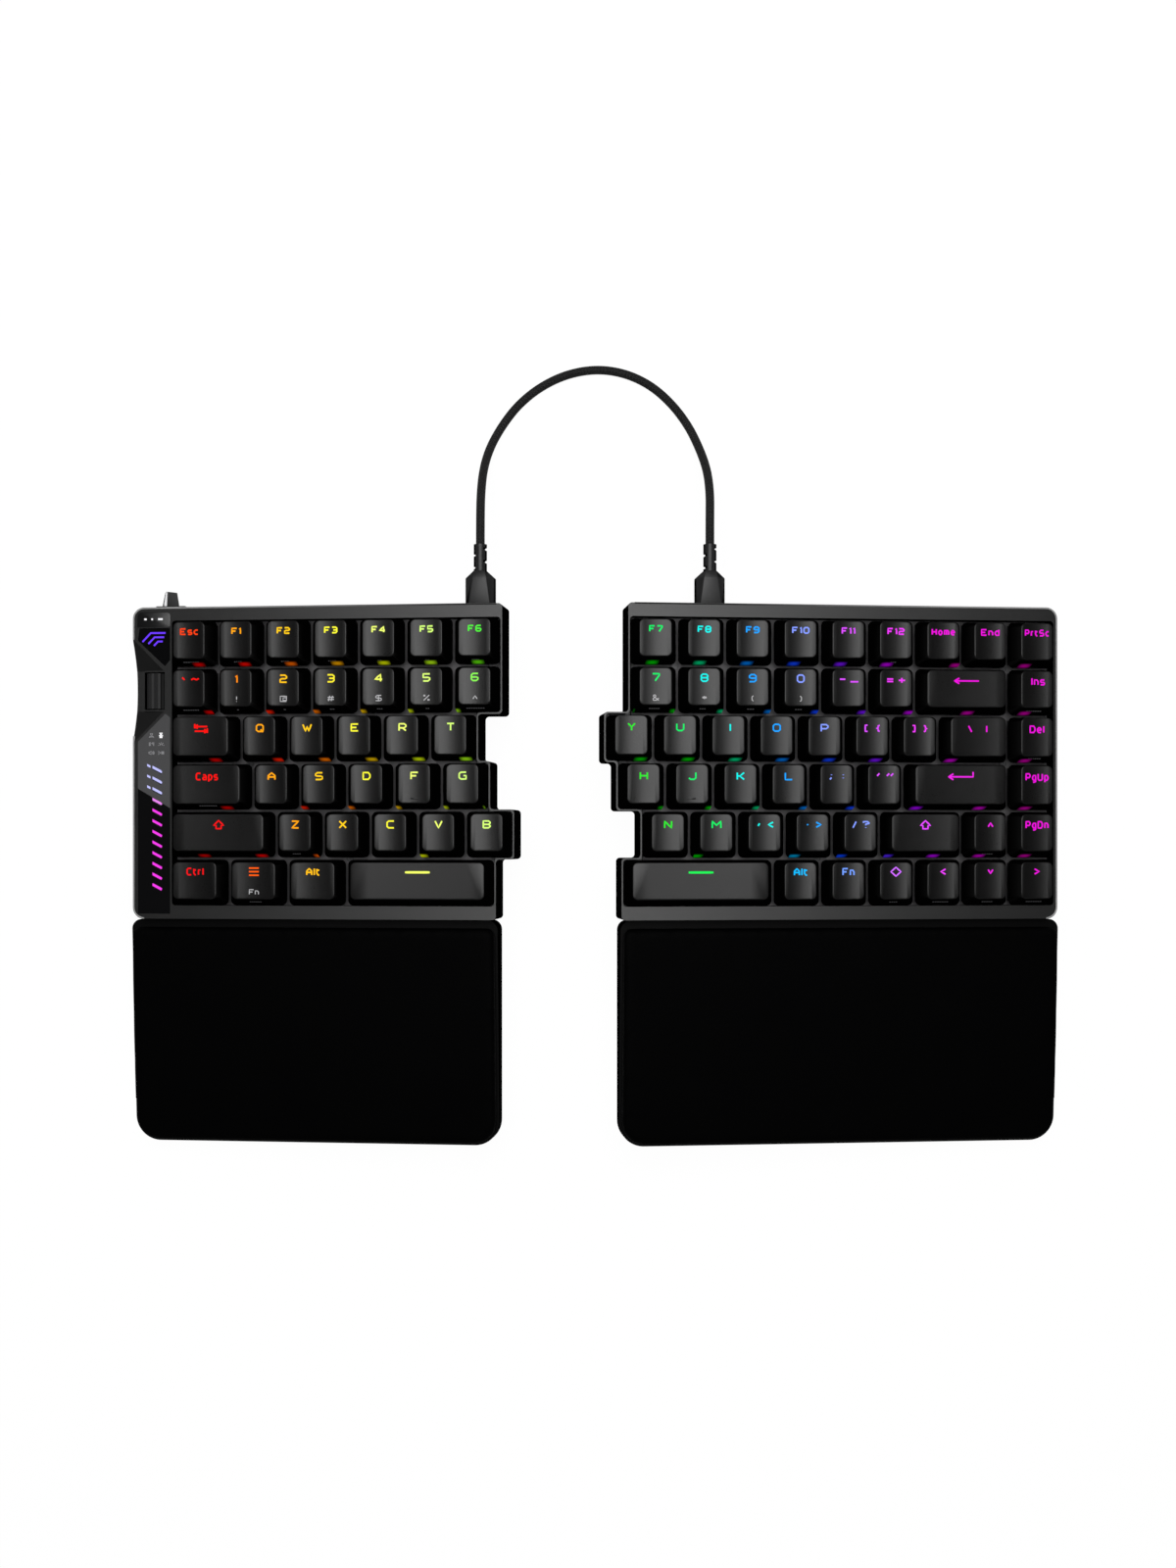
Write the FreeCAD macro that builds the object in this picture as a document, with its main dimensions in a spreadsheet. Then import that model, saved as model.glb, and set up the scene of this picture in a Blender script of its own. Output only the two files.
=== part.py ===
import FreeCAD, Part
import math
import os

import Sketcher

# A tented split keyboard: two keyed halves joined by a short cable, each with its wrist rest.
# Each half is modelled flat in its own frame: x = 0 on its outer edge, y = 0 on its front
# edge, z = 0 on its underside. Its placement then tips it up towards the middle.

doc = FreeCAD.newDocument("split_keyboard")
sheet = doc.addObject("Spreadsheet::Sheet", "dim")

# Driving dimensions in millimetres and degrees
DIMENSIONS = [
    ("tent_angle", 6.2, "slope of each half, inner side up"),
    ("outer_clearance", 1.2, "outer bottom edge above the desk"),
    ("outer_reach", 182.98, "middle of the keyboard to each outer bottom edge"),
    ("key_pitch", 19.05, "one key unit"),
    ("key_gap", 0.95, "gap between the skirts of two caps"),
    ("bay_clearance", 0.2, "gap between a cap and the frame"),
    ("left_margin", 15.7, "outer edge to the first key of the left half"),
    ("right_margin", 1.25, "outer edge to the first key of the right half"),
    ("inner_margin", 0.3, "key field to the inner wall's outside"),
    ("lip", 5.05, "key field to the front and rear edges"),
    ("case_height", 18.5, "underside to the top of the frame"),
    ("split_height", 11.5, "underside to the seam between the two shells"),
    ("case_corner", 4.5, "radius of the outer corners"),
    ("step_corner", 1.5, "radius of the stepped inner corners"),
    ("wall", 1.6, "thickness of the lower shell's walls"),
    ("base_floor", 2.0, "thickness of the lower shell's floor"),
    ("plate_thickness", 1.5, "switch plate"),
    ("plate_fit", 0.3, "gap around the switch plate and the circuit board"),
    ("plate_lip", 4.6, "front and rear edges to the switch plate"),
    ("board_thickness", 1.6, "circuit board"),
    ("housing_depth", 5.0, "switch housing below the plate's top"),
    ("housing_width", 13.9, "switch housing below the plate"),
    ("plate_hole", 14.0, "square hole for a switch"),
    ("flange_width", 15.4, "switch flange on the plate"),
    ("flange_height", 1.0, "switch flange on the plate"),
    ("housing_rise", 6.6, "switch housing above the plate"),
    ("housing_top_width", 10.4, "top of the switch housing"),
    ("stem_diameter", 5.6, "switch stem"),
    ("stem_bore", 6.4, "bore in the switch housing"),
    ("stem_length", 5.2, "switch stem"),
    ("stem_rise", 7.1, "top of the stem above the plate"),
    ("stem_travel", 3.8, "how far a key goes down"),
    ("stem_slack", 0.6, "left under a stem that is pressed home"),
    ("housing_corner", 1.0, "corners of the switch housing"),
    ("skirt_rise", 5.95, "cap's lower edge above the plate"),
    ("cap_height", 8.25, "lower edge to the top of a cap"),
    ("cap_taper", 5.5, "width lost from a cap's skirt to its top"),
    ("cap_top_depth", 14.5, "depth of a cap's top"),
    ("home_top_depth", 15.3, "depth of a cap's top in the two middle rows"),
    ("cap_lean", 0.85, "how far a cap's top sits to the rear"),
    ("cap_base_corner", 2.0, "corner radius of a cap's skirt"),
    ("cap_top_corner", 1.7, "corner radius of a cap's top"),
    ("cap_wall", 1.3, "wall of a cap"),
    ("cap_roof", 1.6, "top of a cap, over the dish"),
    ("dish_depth", 0.5, "hollow across the top of a cap"),
    ("stabiliser_reach", 11.9, "stabiliser to the middle of a wide key"),
    ("bar_reach", 19.05, "stabiliser to the middle of a space bar"),
    ("stabiliser_width", 6.8, "stabiliser housing"),
    ("stabiliser_depth", 12.0, "stabiliser housing"),
    ("stabiliser_height", 5.0, "stabiliser housing above the plate"),
    ("stabiliser_stem", 3.6, "stabiliser stem"),
    ("stabiliser_bore", 4.4, "bore in the stabiliser housing"),
    ("wire_diameter", 1.2, "stabiliser wire"),
    ("wire_offset", 8.45, "stabiliser wire in front of the key's middle"),
    ("screw_head", 3.0, "plate screw head"),
    ("screw_head_height", 0.9, "plate screw head"),
    ("screw_shank", 1.6, "plate and case screws"),
    ("plate_screw_tip", 5.0, "tip of a plate screw above the underside"),
    ("boss_diameter", 4.4, "plate screw boss"),
    ("case_boss", 3.8, "case screw boss"),
    ("case_boss_inset", 2.4, "front and rear edges to the case screws"),
    ("case_screw_head", 3.2, "case screw head"),
    ("case_screw_rise", 15.5, "tip of a case screw above the underside"),
    ("leg_inset", 9.0, "inner edge to the hinge of a tent leg"),
    ("leg_thickness", 2.6, "tent leg"),
    ("leg_width", 24.0, "tent leg of a half"),
    ("rest_leg_width", 40.0, "tent leg of a wrist rest"),
    ("leg_tip", 3.0, "rubber tip of a tent leg"),
    ("leg_clearance", 0.3, "gap around a folded tent leg"),
    ("pivot_rise", 1.5, "hinge of a tent leg above the underside"),
    ("trunnion_diameter", 2.0, "pin moulded on a tent leg"),
    ("trunnion_length", 1.2, "pin moulded on a tent leg"),
    ("trunnion_fit", 0.1, "radial gap of a trunnion"),
    ("pocket_wall", 1.2, "walls and roof of a leg pocket"),
    ("front_leg_row", 18.0, "front edge to the middle of the front leg"),
    ("rear_leg_row", 105.0, "front edge to the middle of the rear leg"),
    ("foot_inset", 4.0, "outer edge to a rubber foot"),
    ("foot_length", 10.0, "rubber foot across the half"),
    ("foot_width", 18.0, "rubber foot from front to rear"),
    ("flat_foot_diameter", 10.0, "foot used when the legs are folded"),
    ("flat_foot_height", 1.2, "foot used when the legs are folded"),
    ("flat_foot_reach", 30.0, "tent leg's hinge to the foot for flat use"),
    ("socket_reach", 139.0, "outer edge to the middle of the link socket"),
    ("socket_width", 8.94, "link socket shell"),
    ("socket_height", 3.2, "link socket shell"),
    ("socket_depth", 7.3, "link socket shell"),
    ("socket_sheet", 0.3, "link socket shell"),
    ("socket_fit", 0.2, "gap around a socket in the wall"),
    ("charge_reach", 52.0, "outer edge to the middle of the charging socket"),
    ("plug_width", 11.2, "plug body"),
    ("plug_height", 6.4, "plug body"),
    ("plug_length", 13.6, "plug body"),
    ("plug_gap", 0.4, "case to the plug body"),
    ("plug_shoulder", 2.4, "tapered end of the plug body"),
    ("plug_corner", 2.6, "rounded long edges of the plug body"),
    ("plug_neck", 6.9, "width of the plug body's tapered end"),
    ("tongue_fit", 0.08, "gap around the plug's metal tongue"),
    ("relief_diameter", 5.3, "strain relief"),
    ("relief_length", 10.6, "strain relief"),
    ("relief_wall", 0.5, "strain relief round the cable at its end"),
    ("notch_start", 1.4, "plug body to the first notch of the strain relief"),
    ("notch_pitch", 2.1, "one notch to the next"),
    ("notch_width", 0.8, "notch of the strain relief"),
    ("notch_depth", 0.4, "notch of the strain relief"),
    ("cable_diameter", 3.5, "link cable"),
    ("cable_lead", 10.3, "straight start of the link cable out of a strain relief"),
    ("deck_thickness", 2.2, "side deck of the left half"),
    ("deck_wall", 1.5, "side deck to the keys"),
    ("inlay_depth", 1.2, "glossy inlays of the side deck"),
    ("inlay_edge", 2.0, "outer and front edges to the inlays"),
    ("inlay_margin", 0.45, "inlays to the first key"),
    ("emblem_rear", 8.2, "rear edge to the emblem window"),
    ("emblem_lean", 0.7, "how far the emblem window's outer rear corner stands in"),
    ("emblem_side", 13.1, "rear edge to the outer corner of the emblem window"),
    ("emblem_front", 21.1, "rear edge to the inner corner of the emblem window"),
    ("emblem_tip", 23.5, "rear edge to the front tip of the emblem window"),
    ("emblem_tip_reach", 13.1, "outer edge to the front tip of the emblem window"),
    ("status_rear", 81.9, "front edge to the rear tip of the status panel"),
    ("status_tip_reach", 13.3, "outer edge to the rear tip of the status panel"),
    ("status_inner", 80.4, "front edge to the inner rear corner of the status panel"),
    ("status_outer", 70.8, "front edge to the outer rear corner of the status panel"),
    ("roller_reach", 8.7, "outer edge to the middle of the roller"),
    ("roller_row", 91.0, "front edge to the middle of the roller"),
    ("roller_diameter", 7.8, "roller"),
    ("roller_length", 14.2, "roller"),
    ("roller_rise", 0.5, "roller above the deck"),
    ("roller_clearance", 0.45, "gap around the roller"),
    ("roller_wall", 2.0, "walls that carry the roller's axle"),
    ("knurl_depth", 0.25, "grooves of the roller"),
    ("axle_diameter", 1.6, "roller axle"),
    ("axle_fit", 0.1, "radial gap of the axle"),
    ("encoder_width", 8.0, "encoder"),
    ("encoder_depth", 6.6, "encoder"),
    ("encoder_wall", 1.0, "encoder behind the axle's end"),
    ("scoop_depth", 1.4, "finger scoop in the outer edge"),
    ("scoop_length", 40.0, "finger scoop in the outer edge"),
    ("facet_reach", 12.7, "outer edge to the inner end of the scoop's sloping facets"),
    ("facet_start", 8.1, "middle of the roller to the inner end of a facet"),
    ("facet_slope", 10.0, "facets below the deck, in degrees"),
    ("facet_depth", 1.5, "deck beside the roller below the rest of it"),
    ("bar_length", 4.2, "light bar"),
    ("bar_width", 1.3, "light bar"),
    ("bar_slant", 28.0, "light bar"),
    ("bar_pitch", 4.25, "light bar to the next"),
    ("first_bar", 12.5, "front edge to the first light bar"),
    ("bar_reach_x", 9.95, "outer edge to the middle of the light bars"),
    ("lever_reach", 15.1, "outer edge to the mode lever"),
    ("lever_width", 7.4, "mode lever at its base"),
    ("lever_tip_width", 4.2, "mode lever at its tip"),
    ("lever_length", 4.7, "mode lever"),
    ("lever_lean", 0.7, "wedge of the mode lever off its neck"),
    ("lever_slant", 0.8, "tip of the mode lever's inner side below its outer one"),
    ("lever_height", 4.0, "mode lever"),
    ("lever_rise", 15.0, "mode lever's middle above the underside"),
    ("lever_travel", 2.2, "mode lever each way"),
    ("lever_shank", 2.4, "neck of the mode lever"),
    ("lever_fit", 0.1, "gap between the mode lever and its bezel"),
    ("bezel_width", 11.7, "raised plate behind the mode lever"),
    ("bezel_height", 5.2, "raised plate behind the mode lever"),
    ("bezel_depth", 0.6, "raised plate behind the mode lever"),
    ("battery_length", 57.0, "battery"),
    ("battery_width", 38.0, "battery"),
    ("battery_height", 2.6, "battery"),
    ("battery_reach", 58.0, "outer edge to the battery"),
    ("battery_row", 62.0, "front edge to the battery"),
    ("rest_gap", 0.4, "case to the wrist rest"),
    ("rest_depth", 90.0, "wrist rest from front to rear"),
    ("rest_overhang", 2.7, "wrist rest beyond the case's outer edge"),
    ("rest_narrowing", 0.4, "inner edge of the rest to the case's"),
    ("rest_rear_height", 12.0, "hard base of the rest at its rear"),
    ("rest_slope", 3.8, "slope of the rest's top towards the user"),
    ("rest_rear_corner", 4.0, "rear corners of the rest"),
    ("rest_front_corner", 10.0, "front corners of the rest"),
    ("pad_thickness", 4.0, "soft pad of the rest"),
    ("pad_crown", 1.0, "how much fuller the pad is along its middle"),
    ("pad_inset", 0.8, "hard base's edge to the pad"),
    ("pad_rear_inset", 2.8, "hard base's rear edge to the pad"),
    ("pad_round", 1.6, "rounded upper edge of the pad"),
]
for number, (alias, amount, note) in enumerate(DIMENSIONS, start=1):
    sheet.set(f"A{number}", note)
    sheet.set(f"B{number}", str(amount))
    sheet.setAlias(f"B{number}", alias)
doc.recompute()


def val(expression):
    return float(sheet.evalExpression(str(expression).replace("dim.", "")))


def vec(x, y, z):
    return FreeCAD.Vector(x, y, z)


ROWS = 6
CASE_DEPTH = f"({ROWS} * dim.key_pitch + 2 * dim.lip)"
PLATE_TOP = "dim.split_height"
PLATE_BOTTOM = "(dim.split_height - dim.plate_thickness)"
BOARD_TOP = "(dim.split_height - dim.housing_depth)"
BOARD_BOTTOM = "(dim.split_height - dim.housing_depth - dim.board_thickness)"
BAY_INSET = "(dim.key_gap / 2 - dim.bay_clearance)"
SKIRT = val("split_height + skirt_rise")
LEVER_REACH_OUT = val("bezel_depth + lever_fit + lever_length")
REST_REACH = val("rest_depth + rest_gap")
CASE_FRONT_Y = (REST_REACH - val(CASE_DEPTH) - LEVER_REACH_OUT) / 2
# Heights of cuts that run right through a half, and the size of the desk's cutting block
THROUGH = "(2 * dim.case_height)"
DESK_SPAN, DESK_DEPTH = 600, 60


# One half: its side, its key rows from the front as (start, [widths]) in key units counted
# from the outer margin, and its screws as (units, gaps counted from the front)
class Half:
    def __init__(self, name, sense, rows, plate_screws, front_screws, rear_screws):
        self.name = name
        self.sense = sense
        self.rows = rows
        self.ends = [start + sum(widths) for start, widths in rows]
        self.plate_screws = plate_screws
        self.front_screws = front_screws
        self.rear_screws = rear_screws
        self.margin = f"dim.{name}_margin"
        turn = FreeCAD.Rotation(vec(0, 1, 0), -sense * val("tent_angle"))
        base = vec(-sense * val("outer_reach"), CASE_FRONT_Y, val("outer_clearance"))
        self.placement = FreeCAD.Placement(base, turn)

    def along(self, units):
        return f"({self.margin} + {units} * dim.key_pitch)"

    def x(self, expression):
        return f"{self.sense} * ({expression})"

    def inner_edge(self, row):
        return f"({self.along(self.ends[row])} + dim.inner_margin)"


UNIT = 1.0
LEFT_SPACE, RIGHT_SPACE = 3.12, 3.14
left = Half(
    "left",
    1,
    [
        (0, [1.25, 1.25, 1.25, LEFT_SPACE]),
        (0, [2.25] + [UNIT] * 5),
        (0, [1.75] + [UNIT] * 5),
        (0, [1.5] + [UNIT] * 5),
        (0, [UNIT] * 7),
        (0, [UNIT] * 7),
    ],
    [(6.7, 5), (6.2, 3), (1.0, 5), (1.6, 3), (3.75, 1)],
    [0.5, 3.5, 6.3],
    [1.2, 3.5, 5.5],
)
right = Half(
    "right",
    -1,
    [
        (0, [UNIT] * 6 + [RIGHT_SPACE]),
        (0, [UNIT] * 2 + [1.75] + [UNIT] * 5),
        (0, [UNIT, 2.25] + [UNIT] * 6),
        (0, [UNIT, 1.5] + [UNIT] * 7),
        (0, [UNIT, 2.0] + [UNIT] * 6),
        (0, [UNIT] * 9),
    ],
    [(8.0, 5), (8.5, 3), (5.0, 1), (1.0, 5), (1.0, 3), (1.0, 1)],
    [0.5, 4.5, 8.5],
    [0.5, 3.5, 6.0],
)
HALVES = [left, right]
HOME_ROWS = (2, 3)
# Keys from this wide, in key units, have stabilisers, and only space bars are wider than the next
STABILISED = 2.0
WIDEST_KEY = 3.0
ROW_NAMES = [
    "bottom_row_keys",
    "shift_row_keys",
    "home_row_keys",
    "upper_row_keys",
    "number_row_keys",
    "function_row_keys",
]


def row_middle(row):
    return f"(dim.lip + {row + 0.5} * dim.key_pitch)"


# Sketches and bodies
def new_body(name):
    return doc.addObject("PartDesign::Body", name)


def new_sketch(body, name, role, offset):
    sketch = body.newObject("Sketcher::SketchObject", name)
    origin_plane = next(f for f in body.Origin.OriginFeatures if f.Role == role)
    sketch.AttachmentSupport = (origin_plane, [""])
    sketch.MapMode = "FlatFace"
    sketch.setExpression("AttachmentOffset.Base.z", offset)
    return sketch


def pin_point(sketch, geometry, position, x, y):
    for kind, expression in (("DistanceX", x), ("DistanceY", y)):
        index = sketch.addConstraint(
            Sketcher.Constraint(kind, -1, 1, geometry, position, val(expression))
        )
        sketch.setExpression(f"Constraints[{index}]", expression)


# A closed outline through corners given as (x, y, radius) expressions. A corner with a radius
# joins two sides that run along the axes; radius 0 leaves it sharp.
def draw_outline(sketch, corners):
    count = len(corners)
    places = [(val(x), val(y)) for x, y, _ in corners]

    def towards(here, there):
        dx, dy = places[there][0] - places[here][0], places[there][1] - places[here][1]
        length = math.hypot(dx, dy)
        return round(dx / length), round(dy / length)

    ends = []
    for i, (x, y, radius) in enumerate(corners):
        if val(radius) == 0:
            ends.append(((x, y), (x, y)))
            continue
        back, ahead = towards(i, i - 1), towards(i, (i + 1) % count)
        ends.append(
            tuple(
                (f"({x}) + {across} * ({radius})", f"({y}) + {up} * ({radius})")
                for across, up in (back, ahead)
            )
        )
    for i in range(count):
        start, finish = ends[i][1], ends[(i + 1) % count][0]
        line = Part.LineSegment(
            vec(val(start[0]), val(start[1]), 0), vec(val(finish[0]), val(finish[1]), 0)
        )
        geometry = sketch.addGeometry(line, False)
        pin_point(sketch, geometry, 1, *start)
        pin_point(sketch, geometry, 2, *finish)
    for i, (x, y, radius) in enumerate(corners):
        if val(radius) == 0:
            continue
        first, last = (vec(val(p[0]), val(p[1]), 0) for p in ends[i])
        corner = vec(*places[i], 0)
        middle = first + last - corner
        through = middle + (corner - middle).normalize() * val(radius)
        arc = sketch.addGeometry(Part.Arc(first, through, last), False)
        turned_left = (first - corner).cross(last - corner).z < 0
        meets = ((i - 1) % count, 2), (i, 1)
        for end, (line, position) in zip((1, 2) if turned_left else (2, 1), meets):
            sketch.addConstraint(Sketcher.Constraint("Coincident", arc, end, line, position))
        index = sketch.addConstraint(Sketcher.Constraint("Radius", arc, val(radius)))
        sketch.setExpression(f"Constraints[{index}]", radius)


def pad_outline(name, corners, bottom, height):
    body = new_body(name)
    sketch = new_sketch(body, f"{name}_outline", "XY_Plane", bottom)
    draw_outline(sketch, corners)
    pad = body.newObject("PartDesign::Pad", f"{name}_pad")
    pad.Profile = sketch
    pad.setExpression("Length", height)
    return body


def pocket_outline(body, name, corners, top, depth):
    sketch = new_sketch(body, f"{name}_outline", "XY_Plane", top)
    draw_outline(sketch, corners)
    pocket = body.newObject("PartDesign::Pocket", name)
    pocket.Profile = sketch
    pocket.setExpression("Length", depth)


# Primitives of one half, placed by its outer edge
def box(half, name, start, y, z, length, width, height):
    obj = doc.addObject("Part::Box", f"{half.name}_{name}")
    corner = start if half.sense > 0 else f"0 - ({start}) - ({length})"
    for prop, expression in (
        ("Length", length),
        ("Width", width),
        ("Height", height),
        ("Placement.Base.x", corner),
        ("Placement.Base.y", y),
        ("Placement.Base.z", z),
    ):
        obj.setExpression(prop, expression)
    return obj


def cylinder(half, name, reach, y, z, diameter, height, along_y=False):
    obj = doc.addObject("Part::Cylinder", f"{half.name}_{name}")
    if along_y:
        obj.Placement = FreeCAD.Placement(vec(0, 0, 0), FreeCAD.Rotation(vec(1, 0, 0), -90))
    for prop, expression in (
        ("Radius", f"({diameter}) / 2"),
        ("Height", height),
        ("Placement.Base.x", half.x(reach)),
        ("Placement.Base.y", y),
        ("Placement.Base.z", z),
    ):
        obj.setExpression(prop, expression)
    return obj


def fuse(name, parts):
    obj = doc.addObject("Part::MultiFuse", name)
    obj.Shapes = parts
    return obj


def cut(name, base, tools):
    obj = doc.addObject("Part::Cut", name)
    obj.Base = base
    obj.Tool = tools[0] if len(tools) == 1 else fuse(f"{name}_tools", tools)
    return obj


def feature(name, shape):
    obj = doc.addObject("Part::Feature", name)
    obj.Shape = shape
    return obj


# Each finished piece is a node: one object with the label of its file and the placement of
# the half that it belongs to
NODES = []


def node(label, half, parts):
    obj = doc.addObject("Part::Compound", label)
    obj.Label = label
    obj.Links = parts
    obj.Placement = half.placement
    NODES.append(obj)
    return obj


# The stepped outline of a half, moved out by grow along its inner steps
def stepped(half, grow, outer, front, rear, radius, outer_radius):
    corners = [(half.x(outer), front, outer_radius)]
    for row in range(ROWS):
        edge = half.x(f"{half.along(half.ends[row])} + {grow}")
        if row == 0:
            corners.append((edge, front, radius))
        last = row == ROWS - 1
        if last:
            corners.append((edge, rear, radius))
            break
        change = half.ends[row + 1] - half.ends[row]
        if change == 0:
            continue
        shift = f"- ({grow})" if change > 0 else f"+ ({grow})"
        line = f"(dim.lip + {row + 1} * dim.key_pitch {shift})"
        following = half.x(f"{half.along(half.ends[row + 1])} + {grow}")
        corners.append((edge, line, radius))
        corners.append((following, line, radius))
    corners.append((half.x(outer), rear, outer_radius))
    return corners


def case_outline(half):
    return stepped(half, "dim.inner_margin", "0", "0", CASE_DEPTH, "dim.step_corner", "dim.case_corner")


# The desk as a cutting block in the frame of a half
def desk_block(half):
    obj = doc.addObject("Part::Box", f"{half.name}_desk")
    obj.Length, obj.Width, obj.Height = DESK_SPAN, DESK_SPAN, DESK_DEPTH
    corner = vec(-DESK_SPAN / 2, -DESK_SPAN / 2, -DESK_DEPTH)
    obj.Placement = half.placement.inverse().multiply(FreeCAD.Placement(corner, FreeCAD.Rotation()))
    return obj


def pivot_height(reach):
    slope = math.radians(val("tent_angle"))
    return val("outer_clearance") + val(reach) * math.sin(slope) + val("pivot_rise") * math.cos(slope)


def leg_length(reach):
    return pivot_height(reach) / math.cos(math.radians(val("tent_angle")))


# A flip-out tent leg: round head on two trunnions, flat blade, rubber tip cut to the desk
def tent_leg(half, name, reach, row, width, desk):
    # the blade is drawn longer than needed and the desk cuts it
    longest = leg_length(reach) + val("leg_thickness")
    blade = box(
        half, f"{name}_blade", f"{reach} - dim.leg_thickness / 2", f"{row} - {width} / 2",
        f"dim.pivot_rise - {longest}", "dim.leg_thickness", width, f"{longest}",
    )
    head = cylinder(
        half, f"{name}_head", reach, f"{row} - {width} / 2", "dim.pivot_rise",
        "dim.leg_thickness", width, along_y=True,
    )
    pins = cylinder(
        half, f"{name}_pins", reach, f"{row} - {width} / 2 - dim.trunnion_length", "dim.pivot_rise",
        "dim.trunnion_diameter", f"{width} + 2 * dim.trunnion_length", along_y=True,
    )
    tip_start = f"dim.pivot_rise - {leg_length(reach)} + dim.leg_tip"
    below = box(
        half, f"{name}_below", f"{reach} - dim.leg_thickness", f"{row} - {width}",
        f"{tip_start} - {longest}", "2 * dim.leg_thickness", f"2 * {width}", f"{longest}",
    )
    whole = fuse(f"{half.name}_{name}_whole", [blade, head, pins])
    arm = cut(f"{half.name}_{name}_arm", whole, [below])
    end = doc.addObject("Part::Common", f"{half.name}_{name}_end")
    end.Base, end.Tool = whole, below
    tip = cut(f"{half.name}_{name}_tip", end, [desk])
    node(f"{half.name}_{name}", half, [arm, tip])


# The recess that a folded leg lies in, its walls, and the bores of its trunnions
def leg_pocket(half, name, reach, row, width):
    gap = "dim.leg_clearance"
    start = f"({reach} - {leg_length(reach)} - 2 * {gap})"
    length = f"({leg_length(reach)} + dim.leg_thickness / 2 + 3 * {gap})"
    depth = f"(dim.pivot_rise + dim.leg_thickness / 2 + {gap})"
    recess = box(
        half, f"{name}_recess", start, f"{row} - {width} / 2 - {gap}", f"0 - {depth}",
        length, f"{width} + 2 * {gap}", f"2 * {depth}",
    )
    bore = cylinder(
        half, f"{name}_bore", reach, f"{row} - {width} / 2 - dim.trunnion_length - {gap}",
        "dim.pivot_rise", "dim.trunnion_diameter + 2 * dim.trunnion_fit",
        f"{width} + 2 * dim.trunnion_length + 2 * {gap}", along_y=True,
    )
    rim = f"(dim.pocket_wall + dim.trunnion_length)"
    walls = box(
        half, f"{name}_walls", f"{start} - dim.pocket_wall", f"{row} - {width} / 2 - {gap} - {rim}", "0",
        f"{length} + 2 * dim.pocket_wall", f"{width} + 2 * {gap} + 2 * {rim}", f"{depth} + dim.pocket_wall",
    )
    return walls, [recess, bore]


def screw_places(half):
    return [(half.along(units), f"(dim.lip + {gaps} * dim.key_pitch)") for units, gaps in half.plate_screws]


def case_screw_places(half):
    front = [(half.along(units), "dim.case_boss_inset") for units in half.front_screws]
    rear = [(half.along(units), f"({CASE_DEPTH} - dim.case_boss_inset)") for units in half.rear_screws]
    return front + rear


def sockets(half):
    places = {"link": "dim.socket_reach"}
    if half is left:
        places["charge"] = "dim.charge_reach"
    return places


def case_legs(half):
    reach = f"({half.inner_edge(ROWS - 1)} - dim.leg_inset)"
    return [("rear_leg", reach, "dim.rear_leg_row"), ("front_leg", reach, "dim.front_leg_row")]


# The finger scoop beside the roller, as a wide cylinder that shaves the outer edge
def scoop(half, name, height):
    radius = (val("scoop_length") ** 2 / 4 + val("scoop_depth") ** 2) / (2 * val("scoop_depth"))
    return cylinder(
        half, name, f"dim.scoop_depth - {radius}", "dim.roller_row", "0", f"2 * {radius}", height
    )


def bottom_case(half):
    name = f"{half.name}_bottom_case"
    body = pad_outline(f"{name}_shell", case_outline(half), "0", "dim.split_height")
    cavity = stepped(
        half, "dim.inner_margin - dim.wall", "dim.wall", "dim.wall", f"{CASE_DEPTH} - dim.wall",
        "dim.step_corner", "dim.case_corner - dim.wall",
    )
    pocket_outline(body, f"{name}_cavity", cavity, "dim.split_height", "dim.split_height - dim.base_floor")
    added, removed = [body], []
    for i, (reach, row) in enumerate(screw_places(half)):
        added.append(
            cylinder(half, f"plate_boss_{i}", reach, row, "0", "dim.boss_diameter", PLATE_BOTTOM)
        )
        removed.append(
            cylinder(
                half, f"plate_boss_hole_{i}", reach, row, "dim.plate_screw_tip", "dim.screw_shank", THROUGH
            )
        )
    for i, (reach, row) in enumerate(case_screw_places(half)):
        added.append(cylinder(half, f"case_boss_{i}", reach, row, "0", "dim.case_boss", "dim.split_height"))
        removed.append(
            cylinder(half, f"case_hole_{i}", reach, row, "0 - dim.base_floor", "dim.screw_shank", THROUGH)
        )
        removed.append(
            cylinder(
                half, f"case_sink_{i}", reach, row, "0 - dim.base_floor", "dim.case_screw_head",
                "dim.base_floor + dim.screw_head_height",
            )
        )
    for leg, reach, row in case_legs(half):
        walls, cuts = leg_pocket(half, leg, reach, row, "dim.leg_width")
        added.append(walls)
        removed += cuts
    for socket, reach in sockets(half).items():
        width = "(dim.socket_width + 2 * dim.socket_fit)"
        removed.append(
            box(
                half, f"{socket}_port", f"{reach} - {width} / 2", f"{CASE_DEPTH} - 2 * dim.wall",
                f"{BOARD_TOP} - dim.socket_fit", width, "4 * dim.wall",
                "dim.socket_height + 2 * dim.socket_fit",
            )
        )
    if half is left:
        removed.append(scoop(half, "lower_scoop", "dim.split_height"))
    node(name, half, [cut(f"{name}_raw", fuse(f"{name}_solid", added), removed)])


# Plain inlays of the side deck, as (outer edge, front edge) corners in the order of the outline
INLAY_INNER = "(dim.left_margin - dim.inlay_margin)"
EMBLEM_CORNERS = [
    ("dim.inlay_edge + dim.emblem_lean", f"{CASE_DEPTH} - dim.emblem_rear"),
    (INLAY_INNER, f"{CASE_DEPTH} - dim.emblem_rear"),
    (INLAY_INNER, f"{CASE_DEPTH} - dim.emblem_front"),
    ("dim.emblem_tip_reach", f"{CASE_DEPTH} - dim.emblem_tip"),
    ("dim.inlay_edge", f"{CASE_DEPTH} - dim.emblem_side"),
]
STATUS_CORNERS = [
    ("dim.status_tip_reach", "dim.status_rear"),
    (INLAY_INNER, "dim.status_inner"),
    (INLAY_INNER, "dim.inlay_edge"),
    ("dim.inlay_edge", "dim.inlay_edge"),
    ("dim.inlay_edge", "dim.status_outer"),
]
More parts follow.
